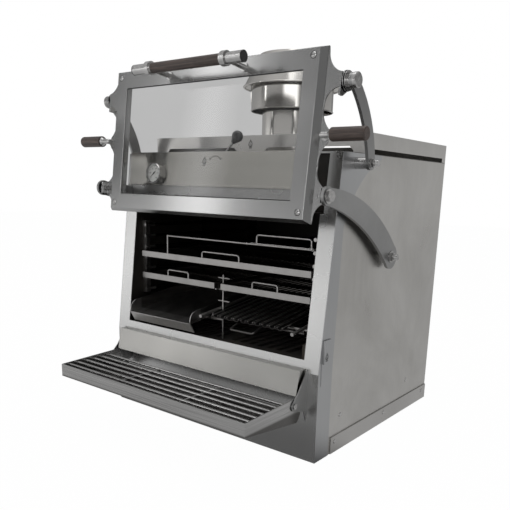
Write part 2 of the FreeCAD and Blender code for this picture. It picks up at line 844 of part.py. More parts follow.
def make_flue():
    """Pipe, open sleeve round its mouth, cone cap over the sleeve, and the straps between them."""
    x = sheet.flue_x
    y = sheet.flue_y
    wall = sheet.flue_sheet
    axis_point = FreeCAD.Vector(x, y, 0)
    pipe = tube(x, y, sheet.opening_high + sheet.frame_sheet, sheet.flue_top, sheet.flue_radius, wall)
    collar = tube(x, y, sheet.deck_height, sheet.deck_height + 3, sheet.flue_radius + 26, 27)
    shaft_bore = Part.makeCylinder(
        sheet.damper_shaft + sheet.pin_gap, 2 * sheet.flue_radius + 40,
        FreeCAD.Vector(x, y - sheet.flue_radius - 20, sheet.damper_height), Y_AXIS,
    )
    sub_part("flue_pipe", formed(pipe.fuse(collar).cut(shaft_bore)))
    sleeve = tube(x, y, sheet.sleeve_low, sheet.sleeve_high, sheet.sleeve_radius, wall)
    hem = Part.makeTorus(sheet.sleeve_radius, 2.2, FreeCAD.Vector(x, y, sheet.sleeve_low + 2.2))
    sub_part("flue_sleeve", formed(sleeve.fuse(hem)))
    rise = sheet.cap_top - sheet.cap_low
    low_point = FreeCAD.Vector(x, y, sheet.cap_low)
    outside = Part.makeCone(sheet.cap_low_radius, sheet.cap_top_radius, rise, low_point)
    inside = Part.makeCone(sheet.cap_low_radius - wall, sheet.cap_top_radius - wall, rise - wall, low_point)
    lip = Part.makeTorus(sheet.cap_low_radius - 1, 3.5, low_point + Z_AXIS * 2)
    hollow = Part.makeCylinder(sheet.cap_low_radius - 6, 1, low_point - Z_AXIS * 2)
    sub_part("flue_cap", formed(outside.cut(inside).fuse(lip).cut(hollow)))
    bracket_foot = sheet.sleeve_low + 30
    bracket_low = sheet.cap_low + 14
    bracket_top = bracket_low + 26
    seat = sheet.sleeve_radius
    thick = 3
    half_width = sheet.strap_width / 2

    def blank(low):
        corner = FreeCAD.Vector(-half_width, 0, low)
        return Part.makeBox(sheet.strap_width, sheet.cap_low_radius, bracket_top - low, corner)

    leg = blank(bracket_foot).common(Part.makeCylinder(seat + thick, sheet.cap_top))
    reach = Part.makeCone(
        sheet.cap_low_radius - wall - sheet.running_gap, sheet.cap_top_radius - wall - sheet.running_gap,
        rise - wall, FreeCAD.Vector(0, 0, sheet.cap_low),
    )
    bracket = leg.fuse(blank(bracket_low).common(reach))
    bracket = bracket.cut(Part.makeCylinder(seat, sheet.cap_top))
    inner_seat = sheet.sleeve_radius - wall
    spacer = Part.makeBox(
        sheet.strap_width, inner_seat - sheet.flue_radius, thick,
        FreeCAD.Vector(-half_width, sheet.flue_radius, sheet.sleeve_low + 14),
    )
    spacer = spacer.common(tube(0, 0, sheet.sleeve_low, sheet.sleeve_high, inner_seat, inner_seat - sheet.flue_radius))
    straps = []
    for angle in (-120, 0, 120):
        for piece in (bracket, spacer):
            turned = piece.copy()
            turned.rotate(FreeCAD.Vector(), Z_AXIS, angle)
            turned.translate(axis_point)
            straps.append(turned)
    sub_part("cap_straps", formed(Part.makeCompound(straps)))


def make_panel_screws():
    """Raised-head screws of the side panels and the base skirts."""
    skirt_middle = sheet.skirt_height * 0.66
    places = [
        (value(OUTER_HALF), sheet.screw_front, sheet.screw_height),
        (value(OUTER_HALF), sheet.screw_rear, sheet.screw_height),
    ]
    for y in (sheet.skirt_start + 25, sheet.depth * 0.552, sheet.depth - 38):
        places.append((value(OUTER_HALF) + sheet.skirt_sheet, y, skirt_middle))
    radius = sheet.screw_radius
    rim = 1.5
    heads = []
    for x, y, z in places:
        crown = Part.makeCone(radius, radius * 0.55, rim, FreeCAD.Vector(x + rim, y, z), X_AXIS)
        head = disc(x, y, z, radius, rim).fuse(crown)
        heads.extend([head, mirrored(head)])
    sub_part("panel_screws", formed(Part.makeCompound(heads)))


# Thermometer, drawn square to the leaning fascia with its seat on the fascia's face

GAUGE_HOME = HOME.multiply(GAUGE_SEAT)


def make_thermometer():
    seat = -sheet.frame_sheet - 0.3
    front = seat - sheet.gauge_proud
    radius = sheet.gauge_radius
    centre = FreeCAD.Vector(0, front, 0)
    body = Part.makeCylinder(radius - 3, sheet.gauge_proud, centre, Y_AXIS)
    bezel = Part.makeCone(radius - 1.5, radius, 3, centre, Y_AXIS)
    bezel = bezel.fuse(Part.makeCylinder(radius, 5, centre + Y_AXIS * 3, Y_AXIS))
    well = Part.makeCylinder(radius - 4, 9, centre, Y_AXIS)
    stem = Part.makeCylinder(sheet.gauge_stem, 38, FreeCAD.Vector(0, seat, 0), Y_AXIS)
    sub_part("thermometer_case", formed(body.fuse(bezel).cut(well).fuse(stem)), GAUGE_HOME)
    dial = Part.makeCylinder(radius - 4.2, 1, centre + Y_AXIS * 7.9, Y_AXIS)
    sub_part("thermometer_dial", formed(dial), GAUGE_HOME)
    pane = Part.makeCylinder(radius - 4.2, 1.5, centre + Y_AXIS * 1.5, Y_AXIS)
    sub_part("thermometer_glass", formed(pane), GAUGE_HOME)
    hub = Part.makeCylinder(3, 1.6, FreeCAD.Vector(0, front + 5.6, 0), Y_AXIS)
    tip = radius - 10
    blade_y = front + 6.2
    blade = Part.Face(Part.makePolygon([
        FreeCAD.Vector(-tip, blade_y, 0),
        FreeCAD.Vector(0, blade_y, 1.6),
        FreeCAD.Vector(11, blade_y, 1.2),
        FreeCAD.Vector(11, blade_y, -1.2),
        FreeCAD.Vector(0, blade_y, -1.6),
        FreeCAD.Vector(-tip, blade_y, 0),
    ])).extrude(Y_AXIS * 0.8)
    needle = hub.fuse(blade)
    needle.rotate(FreeCAD.Vector(), Y_AXIS, -40)
    sub_part("thermometer_needle", formed(needle), GAUGE_HOME)


# Flue damper and air slide

def make_damper():
    """A shaft along Y behind the fascia turns the disc in the flue; its lever leans to the right."""
    x = sheet.flue_x
    z = sheet.damper_height
    start = sheet.deck_start - 18
    radius = sheet.damper_shaft
    end = sheet.flue_y + sheet.flue_radius + 4
    shaft = Part.makeCylinder(radius, end - start, FreeCAD.Vector(x, start, z), Y_AXIS)
    plate_radius = sheet.flue_radius - sheet.flue_sheet - 3
    butterfly = Part.makeCylinder(plate_radius, 3, FreeCAD.Vector(x, sheet.flue_y, z - 1.5), Z_AXIS)
    lean = math.radians(sheet.lever_lean)
    direction = FreeCAD.Vector(math.sin(lean), 0, math.cos(lean))
    root = FreeCAD.Vector(x, start + radius, z)
    rod_length = sheet.lever_length - sheet.knob_length / 2
    lever = Part.makeCylinder(4, rod_length, root, direction)
    boss = Part.makeCylinder(9, 2 * radius, FreeCAD.Vector(x, start, z), Y_AXIS)
    sub_part("damper_shaft", formed(shaft.fuse([butterfly, lever, boss])))
    length = sheet.knob_length
    ball = sheet.knob_radius
    centre_up = length - ball
    waist = FreeCAD.Vector(7, 0, 0)
    shoulder = FreeCAD.Vector(ball * math.cos(math.radians(12)), 0, centre_up - ball * math.sin(math.radians(12)))
    top = FreeCAD.Vector(0, 0, length)
    crown = FreeCAD.Vector(ball * math.cos(math.radians(40)), 0, centre_up + ball * math.sin(math.radians(40)))
    profile = Part.Wire([
        Part.LineSegment(FreeCAD.Vector(), waist).toShape(),
        Part.LineSegment(waist, shoulder).toShape(),
        Part.Arc(shoulder, crown, top).toShape(),
        Part.LineSegment(top, FreeCAD.Vector()).toShape(),
    ])
    knob = Part.Face(profile).revolve(FreeCAD.Vector(), Z_AXIS, 360)
    knob.Placement = FreeCAD.Placement(root + direction * rod_length, FreeCAD.Rotation(Z_AXIS, direction))
    sub_part("damper_knob", formed(knob))


def make_air_slide():
    """The shutter over the lower air inlet, with a turned-out edge to pull it by."""
    x = "(sizes.width / 2 + sizes.track_sheet + sizes.running_gap)"
    face = block(
        x, "sizes.slide_y", "sizes.slide_low + sizes.running_gap",
        "sizes.slide_sheet", "sizes.slide_width", "sizes.slide_high - sizes.slide_low",
    )
    edge = block(
        x, "sizes.slide_y - 2", "sizes.slide_low + sizes.running_gap",
        "sizes.slide_sheet + 5", "2", "sizes.slide_high - sizes.slide_low",
    )
    sub_part("air_slide", fuse([face, edge]))


# Ash drawer

def make_ash_drawer():
    """An open tray behind a slanting front with a ledge along its top."""
    low = "sizes.drawer_low"
    height = "(sizes.drawer_high - sizes.drawer_low)"
    outer = block("-sizes.drawer_half", "8", low, "2 * sizes.drawer_half", "sizes.drawer_length - 8", height)
    hollow = block(
        "-sizes.drawer_half + sizes.drawer_sheet", "8 + sizes.drawer_sheet",
        "sizes.drawer_low + sizes.drawer_sheet",
        "2 * (sizes.drawer_half - sizes.drawer_sheet)",
        "sizes.drawer_length - 8 - 2 * sizes.drawer_sheet", height,
    )
    tray = cut(outer, hollow)
    tongue = block(
        "-sizes.drawer_half", "-4", low, "2 * sizes.drawer_half", "14", "sizes.drawer_sheet",
    )
    lean = "((sizes.ramp_reach - sizes.ramp_flange) / (sizes.ramp_top - sizes.drawer_low))"
    wall = "sizes.frame_sheet"
    back = "(-sizes.running_gap)"
    outside = [
        (back, "sizes.ramp_top"), ("-sizes.ramp_flange", "sizes.ramp_top"), ("-sizes.ramp_reach", low), (back, low),
    ]
    ramp = plate("x", "-sizes.ramp_half", "2 * sizes.ramp_half", outside + [
        (back, f"{low} + sizes.drawer_sheet"),
        (f"{wall} - sizes.ramp_reach + sizes.drawer_sheet * {lean}", f"{low} + sizes.drawer_sheet"),
        (f"{wall} - sizes.ramp_flange - {wall} * {lean}", f"sizes.ramp_top - {wall}"),
        (back, f"sizes.ramp_top - {wall}"),
    ])
    ends = [plate("x", start, wall, outside) for start in ("-sizes.ramp_half", f"sizes.ramp_half - {wall}")]
    sub_part("ash_drawer", fuse([tray, tongue, ramp] + ends))


# Fold-up front shelf

def make_front_shelf():
    """A tray whose side plates end in trunnion pins, with a drip pan under its rods."""
    half = sheet.tray_half
    wall = sheet.tray_sheet
    y = sheet.pivot_y
    z = sheet.pivot_height
    front = -sheet.tray_reach
    side_face = curved_face([
        (front, sheet.tray_low),
        (front, sheet.tray_high),
        (y + 11, z + 23),
        ((y + 39, z - 20), (y + 18, z - 60)),
    ])
    side = side_face.extrude(X_AXIS * wall)
    side.translate(X_AXIS * (half - wall))
    pin = disc(half - 1, y, z, sheet.tray_pin, sheet.cheek_gap + sheet.cheek_sheet + 1.5)
    head = disc(half + sheet.cheek_gap + sheet.cheek_sheet + 0.4, y, z, sheet.tray_pin + 3, 3)
    side = side.fuse([pin, head])
    apron = Part.makeBox(2 * half, wall, sheet.tray_high - sheet.tray_low, FreeCAD.Vector(-half, front, sheet.tray_low))
    pan_back = y - 16
    pan_face = curved_face([
        (front + 1, sheet.tray_low + 2),
        (front + 1, sheet.tray_low + 4),
        (pan_back - 2, sheet.tray_low - 6),
        (pan_back - 2, z - 6),
        (pan_back, z - 6),
        (pan_back, sheet.tray_low - 8),
    ])
    pan = pan_face.extrude(X_AXIS * (2 * half - 2))
    pan.translate(X_AXIS * -(half - 1))
    sub_part("shelf_frame", formed(side.fuse([mirrored(side), apron, pan])))
    pieces = []
    rods_back = "(sizes.pivot_y - 30)"
    inner_half = "(sizes.tray_half - sizes.tray_sheet - sizes.pin_gap)"
    last = int(sheet.tray_rod_count) - 1
    for index in range(last + 1):
        pieces.append(rod(
            "x", f"-{inner_half}", f"{rods_back} - {index} * sizes.tray_rod_pitch", "sizes.tray_rod_height",
            "sizes.tray_rod", f"2 * {inner_half}",
        ))
    run = f"({last} * sizes.tray_rod_pitch + 16)"
    for x in ("-150", "142"):
        pieces.append(block(
            x, f"{rods_back} + 8 - {run}", "sizes.tray_rod_height - 14", "8", run, "12",
        ))
    sub_part("shelf_rods", fuse(pieces))


# Grids

def bent_wire(corners, radius, bend):
    """A round wire through its corners in order, each bent to a radius."""
    edges = []
    here = corners[0]
    for corner, after in zip(corners[1:], corners[2:]):
        back = (here - corner).normalize()
        ahead = (after - corner).normalize()
        half_angle = back.getAngle(ahead) / 2
        setback = bend / math.tan(half_angle)
        middle = corner + (back + ahead).normalize() * (bend / math.sin(half_angle) - bend)
        start = corner + back * setback
        end = corner + ahead * setback
        edges.append(Part.LineSegment(here, start).toShape())
        edges.append(Part.Arc(start, middle, end).toShape())
        here = end
    edges.append(Part.LineSegment(here, corners[-1]).toShape())
    section = Part.Wire(Part.Circle(corners[0], corners[1] - corners[0], radius).toShape())
    return Part.Wire(edges).makePipeShell([section], True, True)


def loop_handle(left, right, y, low, high):
    """A bent wire: two legs and a bar, standing on a grid's front bar."""
    corners = [
        FreeCAD.Vector(value(x), value(y), value(z))
        for x, z in ((left, low), (left, high), (right, high), (right, low))
    ]
    return [formed(bent_wire(corners, sheet.handle_wire, sheet.handle_bend))]


def wire_grid(left, right, front, length, low, handles):
    """A frame of flat bars, filled with wires along Y on two cross strips."""
    strip = "sizes.grid_strip"
    tall = "sizes.grid_bar"
    span = f"(({right}) - ({left}))"
    pieces = [
        block(left, front, low, span, strip, tall),
        block(left, f"({front}) + ({length}) - {strip}", low, span, strip, tall),
        block(left, front, low, strip, length, tall),
        block(f"({right}) - {strip}", front, low, strip, length, tall),
    ]
    wire_z = f"(({low}) + {tall} - 2 * sizes.wire_radius)"
    for share in (0.33, 0.67):
        pieces.append(block(
            left, f"({front}) + {share} * ({length})", f"({low}) + 2", span, strip, f"{wire_z} - ({low}) - 2",
        ))
    count = int(value(span) // sheet.wire_pitch)
    for index in range(1, count + 1):
        pieces.append(rod(
            "y", f"({left}) + {index} * {span} / {count + 1}", front, wire_z, "sizes.wire_radius", length,
        ))
    return fuse(pieces + handles)


def grid_seat(level):
    """The underside of a grid that lies on the side rails of a level."""
    return f"({rail_height(level)} + sizes.rail_radius + sizes.running_gap)"


def make_grids():
    front = "sizes.grid_front"
    top_bar = "sizes.grid_bar"
    upper_low = grid_seat(3)
    upper_top = f"({upper_low} + {top_bar} - 2)"
    handle_y = f"({front} + sizes.grid_strip / 2)"
    handles = loop_handle(
        "-sizes.wide_handle / 2 + 10", "sizes.wide_handle / 2 + 10", handle_y,
        upper_top, f"{upper_top} + sizes.handle_rise",
    )
    grid = wire_grid("-sizes.grid_half", "sizes.grid_half", front, "sizes.grid_length", upper_low, handles)
    sub_part("upper_grid", grid)
    mid_low = grid_seat(1)
    mid_top = f"({mid_low} + {top_bar} - 2)"
    for side, sign in SIDES.items():
        inner = "(sizes.grid_gap / 2)"
        left = inner if sign > 0 else "-sizes.grid_half"
        right = "sizes.grid_half" if sign > 0 else f"-{inner}"
        middle = f"(({left}) + ({right})) / 2 + 6"
        handles = loop_handle(
            f"{middle} - sizes.handle_width / 2", f"{middle} + sizes.handle_width / 2", handle_y,
            mid_top, f"{mid_top} + sizes.handle_rise",
        )
        grid = wire_grid(left, right, front, "sizes.ladder_rear - 10", mid_low, handles)
        sub_part(f"mid_grid_{side}", grid)


def make_top_shelf():
    """The warming shelf: its right edge lies on a side rail, its left leg and fence stand on the grid below."""
    radius = "sizes.shelf_wire"
    left = "sizes.shelf_left"
    right = RAIL_X
    front = "sizes.shelf_front"
    back = "(sizes.shelf_front + sizes.shelf_length)"
    fence_y = "(sizes.grid_front + sizes.grid_strip / 2)"
    height = f"({rail_height(5)} + sizes.rail_radius + sizes.shelf_wire + sizes.running_gap)"
    foot = f"({grid_seat(3)} + sizes.grid_bar + sizes.running_gap)"
    span = f"({right}) - ({left})"
    pieces = [
        rod("x", left, front, height, radius, span),
        rod("x", left, back, height, radius, span),
        rod("y", left, fence_y, height, radius, f"{back} - {fence_y}"),
        rod("y", right, fence_y, height, radius, f"{back} - {fence_y}"),
        rod("x", "sizes.fence_left", fence_y, height, "sizes.handle_wire", f"{right} - sizes.fence_left"),
        rod("z", "sizes.fence_left", fence_y, foot, "sizes.handle_wire", f"{height} + sizes.handle_wire - {foot}"),
    ]
    wires = 10
    for index in range(1, wires + 1):
        pieces.append(rod(
            "y", f"{left} + {index} * ({span}) / {wires + 1}", front, height, "sizes.wire_radius", "sizes.shelf_length",
        ))
    pieces.append(rod("z", left, back, foot, radius, f"{height} - {foot}"))
    pieces += loop_handle(
        f"{left} + 28", f"{right} - 5 * sizes.handle_wire", front,
        height, f"{height} + sizes.shelf_handle_rise",
    )
    sub_part("top_shelf", fuse(pieces))


# Plancha and grooved grill, both inclined; they are drawn level and turned about their front edge

def inclined(y, z):
    """A placement that tips a level piece up to the back about a point of its front edge."""
    base = FreeCAD.Vector(0, y, z)
    return FreeCAD.Placement(base, FreeCAD.Rotation(X_AXIS, sheet.grill_slope))


def make_plancha():
    """A steel plate with a turned-down front lip, round-nosed side rims, and rods beneath."""
    wall = sheet.plancha_sheet
    left = sheet.plancha_left
    right = sheet.plancha_right
    length = sheet.plancha_length
    span = right - left
    rim = sheet.plancha_rim
    lip = sheet.plancha_lip
    floor = Part.makeBox(span, length, wall, FreeCAD.Vector(left, 0, -wall))
    lean = math.radians(sheet.grill_slope + 14)
    lip_foot = (lip * math.sin(lean), -lip * math.cos(lean))
    lip_face = curved_face([
        (0, 0), (wall + 2, 0), (lip_foot[0] + wall, lip_foot[1]), lip_foot, (0.4, -wall),
    ])
    nose = lip_face.extrude(X_AXIS * span)
    nose.translate(X_AXIS * left)
    rim_face = curved_face([
        (0, -wall), (0, 6), ((rim * 0.3, rim * 0.75), (rim, rim)), (length, rim), (length, -wall),
    ])
    pieces = [nose]
    for start in (left, right - wall):
        side = rim_face.extrude(X_AXIS * wall)
        side.translate(X_AXIS * start)
        pieces.append(side)
    back = Part.makeBox(span, wall, rim, FreeCAD.Vector(left, length - wall, -wall))
    pieces.append(back)
    plancha = floor.fuse(pieces)
    home = HOME.multiply(inclined(sheet.plancha_front, sheet.plancha_height))
    sub_part("plancha", formed(plancha), home)


def make_grooved_grill():
    """Ten half-round troughs on two cross rods, slung between two long side rods, with a bail in front."""
    outer = sheet.groove_radius
    inner = outer - sheet.groove_sheet
    length = sheet.groove_length
    rod_radius = sheet.side_rod_radius
    pieces = []
    lips = outer - sheet.groove_drop
    for index in range(int(sheet.groove_count)):
        x = sheet.groove_first + index * sheet.groove_pitch
        centre = FreeCAD.Vector(x, 0, lips)
        trough = Part.makeCylinder(outer, length, centre, Y_AXIS)
        trough = trough.cut(Part.makeCylinder(inner, length, centre, Y_AXIS))
        cover = Part.makeBox(3 * outer, length, 2 * outer, centre - X_AXIS * 1.5 * outer)
        pieces.append(trough.cut(cover))
    left = sheet.side_rod_left
    right = sheet.side_rod_right
    rod_front = sheet.side_rod_front - sheet.groove_front
    wire = 4
    under = -sheet.groove_drop - wire / 2
    front_cross = 18
    for x in (left, right):
        pieces.append(Part.makeCylinder(rod_radius, length - rod_front, FreeCAD.Vector(x, rod_front, 0), Y_AXIS))
        for y in (front_cross, length * 0.78):
            pieces.append(Part.makeCylinder(wire, -under, FreeCAD.Vector(x, y, under), Z_AXIS))
    for y in (front_cross, length * 0.78):
        pieces.append(Part.makeCylinder(wire, right - left + 2 * wire, FreeCAD.Vector(left - wire, y, under), X_AXIS))
    bail_left = 110
    bail_right = 208
    drop = 30
    bail_front = rod_front + 8
    pieces.append(bent_wire([
        FreeCAD.Vector(bail_left, front_cross, under),
        FreeCAD.Vector(bail_left, bail_front, -drop),
        FreeCAD.Vector(bail_right, bail_front, -drop),
        FreeCAD.Vector(bail_right, front_cross, under),
    ], wire, sheet.handle_bend))
    grill = pieces[0].fuse(pieces[1:])
    home = HOME.multiply(inclined(sheet.groove_front, sheet.groove_height))
    sub_part("grooved_grill", formed(grill), home)


# Door, in its own leaning frame

DOOR_SEAT = FreeCAD.Placement(FreeCAD.Vector(0, sheet.door_bottom_y, sheet.door_bottom_z), LEANING)
DOOR_HOME = HOME.multiply(DOOR_SEAT)


def upright_rectangle(half, low, high, y):
    points = [(-half, low), (half, low), (half, high), (-half, high), (-half, low)]
    return Part.makePolygon([FreeCAD.Vector(x, y, z) for x, z in points])


def make_door_frame():
    """A pan: flat front with the glass opening, and skirts that flare outward to the rear plate."""
    half = sheet.door_half
    flare = sheet.door_bevel
    wall = sheet.frame_sheet
    depth = sheet.door_pan
    low = sheet.door_lip_low
    high = sheet.door_height + sheet.door_lip_high
    outside = Part.makeLoft([
        upright_rectangle(half, 0, sheet.door_height, 0),
        upright_rectangle(half + flare, -low, high, depth),
    ], True)
    inside = Part.makeLoft([
        upright_rectangle(half - wall, wall, sheet.door_height - wall, wall),
        upright_rectangle(half + flare - wall, wall - low, high - wall, depth + 0.01),
    ], True)
    opening = Part.makeBox(
        2 * sheet.glass_half, 3 * wall, sheet.glass_high - sheet.glass_low,
        FreeCAD.Vector(-sheet.glass_half, -wall, sheet.glass_low),
    )
    frame = outside.cut(inside).cut(opening)
    for x, z in screw_places():
        frame = frame.cut(Part.makeCylinder(4 + sheet.pin_gap, 3 * wall, FreeCAD.Vector(x, -wall, z), Y_AXIS))
    for x in (-sheet.bar_ring_x, sheet.bar_ring_x):
        frame = frame.cut(Part.makeCylinder(4 + sheet.pin_gap, 3 * wall, FreeCAD.Vector(x, -wall, sheet.bar_up), Y_AXIS))
    sub_part("door_frame", formed(frame), DOOR_HOME)


def screw_places():
    inset = 19
    edge = 20
    return [
        (sign * (sheet.door_half - inset), z)
        for sign in (-1, 1)
        for z in (edge, sheet.door_height - edge)
    ]


def make_door_rear_plate():
    """The plate behind the pan: three horns a side, the outer two ending in pivot tabs."""
    skirt = sheet.door_half + sheet.door_bevel
    reach = sheet.lobe_reach
    upper_reach = sheet.upper_reach
    top = sheet.door_height + sheet.door_lip_high
    bottom = -sheet.door_lip_low
    tab_half = 20
    upper = sheet.upper_pin_up
    lower = sheet.lower_pin_up
    grip = sheet.grip_up
    nose = sheet.grip_x + 10
    waist = skirt + 2
    right_edge = [
        (waist, top - 14),
        ((skirt + 14, upper + tab_half + 22), (upper_reach, upper + tab_half)),
        (upper_reach, upper - tab_half),
        ((skirt + 12, upper - tab_half - 18), (waist, (upper + grip) / 2 + 8)),
        ((skirt + 8, grip + 42), (nose - 3, grip + 18)),
        ((nose, grip), (nose - 3, grip - 18)),
        ((skirt + 6, grip - 46), (waist, (lower + grip) / 2)),
        ((skirt + 8, lower + tab_half + 26), (reach, lower + tab_half)),
        (reach, lower - tab_half),
        ((skirt + 12, lower - tab_half - 16), (waist, bottom + 12)),
        (skirt, bottom),
    ]
    half_face = curved_face([(0, bottom), (0, top), (skirt, top)] + right_edge)
    turn = FreeCAD.Rotation(FreeCAD.Vector(0, 1, 0), FreeCAD.Vector(0, 0, 1), FreeCAD.Vector(1, 0, 0), "ZXY")
    thickness = sheet.rear_plate
    right = half_face.extrude(X_AXIS * thickness)
    right.Placement = FreeCAD.Placement(FreeCAD.Vector(), FreeCAD.Rotation(Z_AXIS, -90))
    right.translate(Y_AXIS * (sheet.door_pan + thickness))
    ring = right.fuse(mirrored(right))
    inner_half = sheet.opening_half - sheet.gasket_width
    hole = Part.makeBox(
        2 * inner_half, 40, seal_top() - 18 - 4,
        FreeCAD.Vector(-inner_half, sheet.door_pan - 10, 4),
    )
    ring = ring.cut(hole)
    thick = sheet.tab_thick
    pan = sheet.door_pan
    tail = tab_half + 22
    tabs = []
    spans = (
        (upper_reach, upper, sheet.upper_pin_in, [
            (pan, -tail), (pan + 16, -tail), (sheet.upper_pin_in + 20, -tab_half),
            (sheet.upper_pin_in + 20, tab_half), (pan, tab_half),
        ]),
        (reach, lower, sheet.lower_pin_in, [
            (sheet.lower_pin_in - 18, -tab_half), (pan + thickness, -tab_half),
            (pan + thickness, tab_half), (sheet.lower_pin_in - 18, tab_half),
        ]),
    )
    for tip, height, pin_in, outline in spans:
        tab = curved_face([(y, height + z) for y, z in outline]).extrude(X_AXIS * thick)
        tab.translate(X_AXIS * (tip - 4))
        tab = tab.fuse(disc(tip - 4, pin_in, height, tab_half, thick + 1))
        tabs.extend([tab, mirrored(tab)])
    ring = ring.fuse(tabs)
    bolt_bore = disc(reach - 24, sheet.lower_pin_in, lower, sheet.lower_bolt + sheet.pin_gap, 60)
    ring = ring.cut(Part.makeCompound([bolt_bore, mirrored(bolt_bore)]))
    sub_part("door_rear_plate", formed(ring.removeSplitter()), DOOR_HOME)


def seal_top():
    """The height of the seal's outer edge, so that it laps over the opening's top."""
    rise = (sheet.opening_high - sheet.opening_low) / math.cos(math.radians(sheet.lean))
    return rise + sheet.gasket_width + 4


def make_door_inner_frame():
    """The channel behind the rear plate: it boxes in the glass at the sides and top and backs the seal."""
    wall = sheet.frame_sheet
    half = sheet.seal_half
    low = -sheet.door_lip_low + 1
    high = seal_top()
    back = sheet.gasket_front
    plate_back = sheet.door_pan + sheet.rear_plate
    front = wall + sheet.running_gap
    side = sheet.glass_half + sheet.glass_lap + 0.5
    top = sheet.glass_high + sheet.glass_lap + 0.5

    def box(x0, y0, z0, x1, y1, z1):
        return Part.makeBox(x1 - x0, y1 - y0, z1 - z0, FreeCAD.Vector(x0, y0, z0))

    pieces = []
    for left in (-1, 1):
        x_inner = sorted((left * side, left * (side + wall)))
        x_outer = sorted((left * (half - wall), left * half))
        x_flange = sorted((left * side, left * half))
        pieces.append(box(x_inner[0], front, 4, x_inner[1], back, top + wall))
        pieces.append(box(x_outer[0], plate_back, low, x_outer[1], back, high))
        pieces.append(box(x_flange[0], back - wall, 4, x_flange[1], back, top))
    pieces.append(box(-side - wall, front, top, side + wall, back, top + wall))
    pieces.append(box(-half, plate_back, high - wall, half, back, high))
    pieces.append(box(-half, plate_back, low, half, back, low + wall))
    pieces.append(box(-half, back - wall, top, half, back, high))
    pieces.append(box(-half, back - wall, low, half, back, 4))
    frame = pieces[0].fuse(pieces[1:]).removeSplitter()
    sub_part("door_inner_frame", formed(frame), DOOR_HOME)


def make_door_gasket():
    half = sheet.seal_half
    low = -sheet.door_lip_low + 1
    high = seal_top()
    inner = sheet.seal_half - sheet.gasket_width
    front = sheet.gasket_front
    thick = sheet.gasket_thick
    outer = Part.makeBox(2 * half, thick, high - low, FreeCAD.Vector(-half, front, low))
    hole_low = 3
    hole_high = high - sheet.gasket_width
    hole = Part.makeBox(2 * inner, 3 * thick, hole_high - hole_low, FreeCAD.Vector(-inner, front - thick, hole_low))
    sub_part("door_gasket", formed(outer.cut(hole)), DOOR_HOME)


def make_door_glass():
    half = "(sizes.glass_half + sizes.glass_lap)"
    pane = block(
        f"-{half}", "sizes.frame_sheet + sizes.running_gap", "sizes.glass_low - sizes.glass_lap",
        f"2 * {half}", "sizes.glass_thick", "sizes.glass_high - sizes.glass_low + 2 * sizes.glass_lap",
    )
    sub_part("door_glass", group([pane]), DOOR_HOME)


def make_door_screws():
    """Slotted round-head screws that hold the pan to the rear plate."""
    screws = []
    for index, (x, z) in enumerate(screw_places()):
        head = Part.makeSphere(12, FreeCAD.Vector(x, 7.5, z))
        head = head.common(Part.makeCylinder(9, 12, FreeCAD.Vector(x, -12, z), Y_AXIS))
        slot = Part.makeBox(20, 2.4, 1.8, FreeCAD.Vector(-10, -5.5, -0.9))
        slot.rotate(FreeCAD.Vector(), Y_AXIS, 35 + 50 * index)
        slot.translate(FreeCAD.Vector(x, 0, z))
        shank = Part.makeCylinder(4, sheet.door_pan, FreeCAD.Vector(x, 0, z), Y_AXIS)
        screws.append(head.fuse(shank).cut(slot))
    sub_part("door_screws", formed(Part.makeCompound(screws)), DOOR_HOME)


def bar_disc(x, radius, length):
    return disc(x, -sheet.bar_out, sheet.bar_up, radius, length)


def make_door_handle():
    """A round bar across the door: steel ends, a wooden grip on a core, and two ring posts."""
    wood = sheet.bar_wood_half
    end = sheet.bar_half - sheet.bar_cap
    core = sheet.bar_core
    bar = bar_disc(-wood - 1, core, 2 * wood + 2)
    for start in (-end, wood):
        bar = bar.fuse(bar_disc(start, sheet.bar_radius, end - wood))
    sub_part("handle_tube", formed(bar), DOOR_HOME)
    grip = bar_disc(-wood + sheet.running_gap, sheet.bar_radius - 0.7, 2 * (wood - sheet.running_gap))
    grip = grip.cut(bar_disc(-wood, core + sheet.pin_gap, 2 * wood))
    sub_part("handle_grip", formed(grip), DOOR_HOME)
    cap = bar_disc(end, sheet.bar_radius, sheet.bar_cap - 1)
    cap = cap.fuse(bar_disc(end + sheet.bar_cap - 1, sheet.bar_radius - 1.5, 1))
    sub_part("handle_end_caps", formed(Part.makeCompound([cap, mirrored(cap)])), DOOR_HOME)
    post_radius = 8
    width = sheet.bar_ring_width
    x = sheet.bar_ring_x
    ring = bar_disc(x - width / 2, sheet.bar_ring_radius, width)
    post = Part.makeCylinder(post_radius, sheet.bar_out, FreeCAD.Vector(x, -sheet.bar_out, sheet.bar_up), Y_AXIS)
    foot = Part.makeCylinder(13, 4, FreeCAD.Vector(x, -4, sheet.bar_up), Y_AXIS)
    tail = Part.makeCylinder(4, sheet.door_pan, FreeCAD.Vector(x, 0, sheet.bar_up), Y_AXIS)
    post = ring.fuse([post, foot]).cut(bar_disc(x - width, sheet.bar_radius + sheet.pin_gap, 2 * width)).fuse(tail)
    sub_part("handle_posts", formed(Part.makeCompound([post, mirrored(post)])), DOOR_HOME)


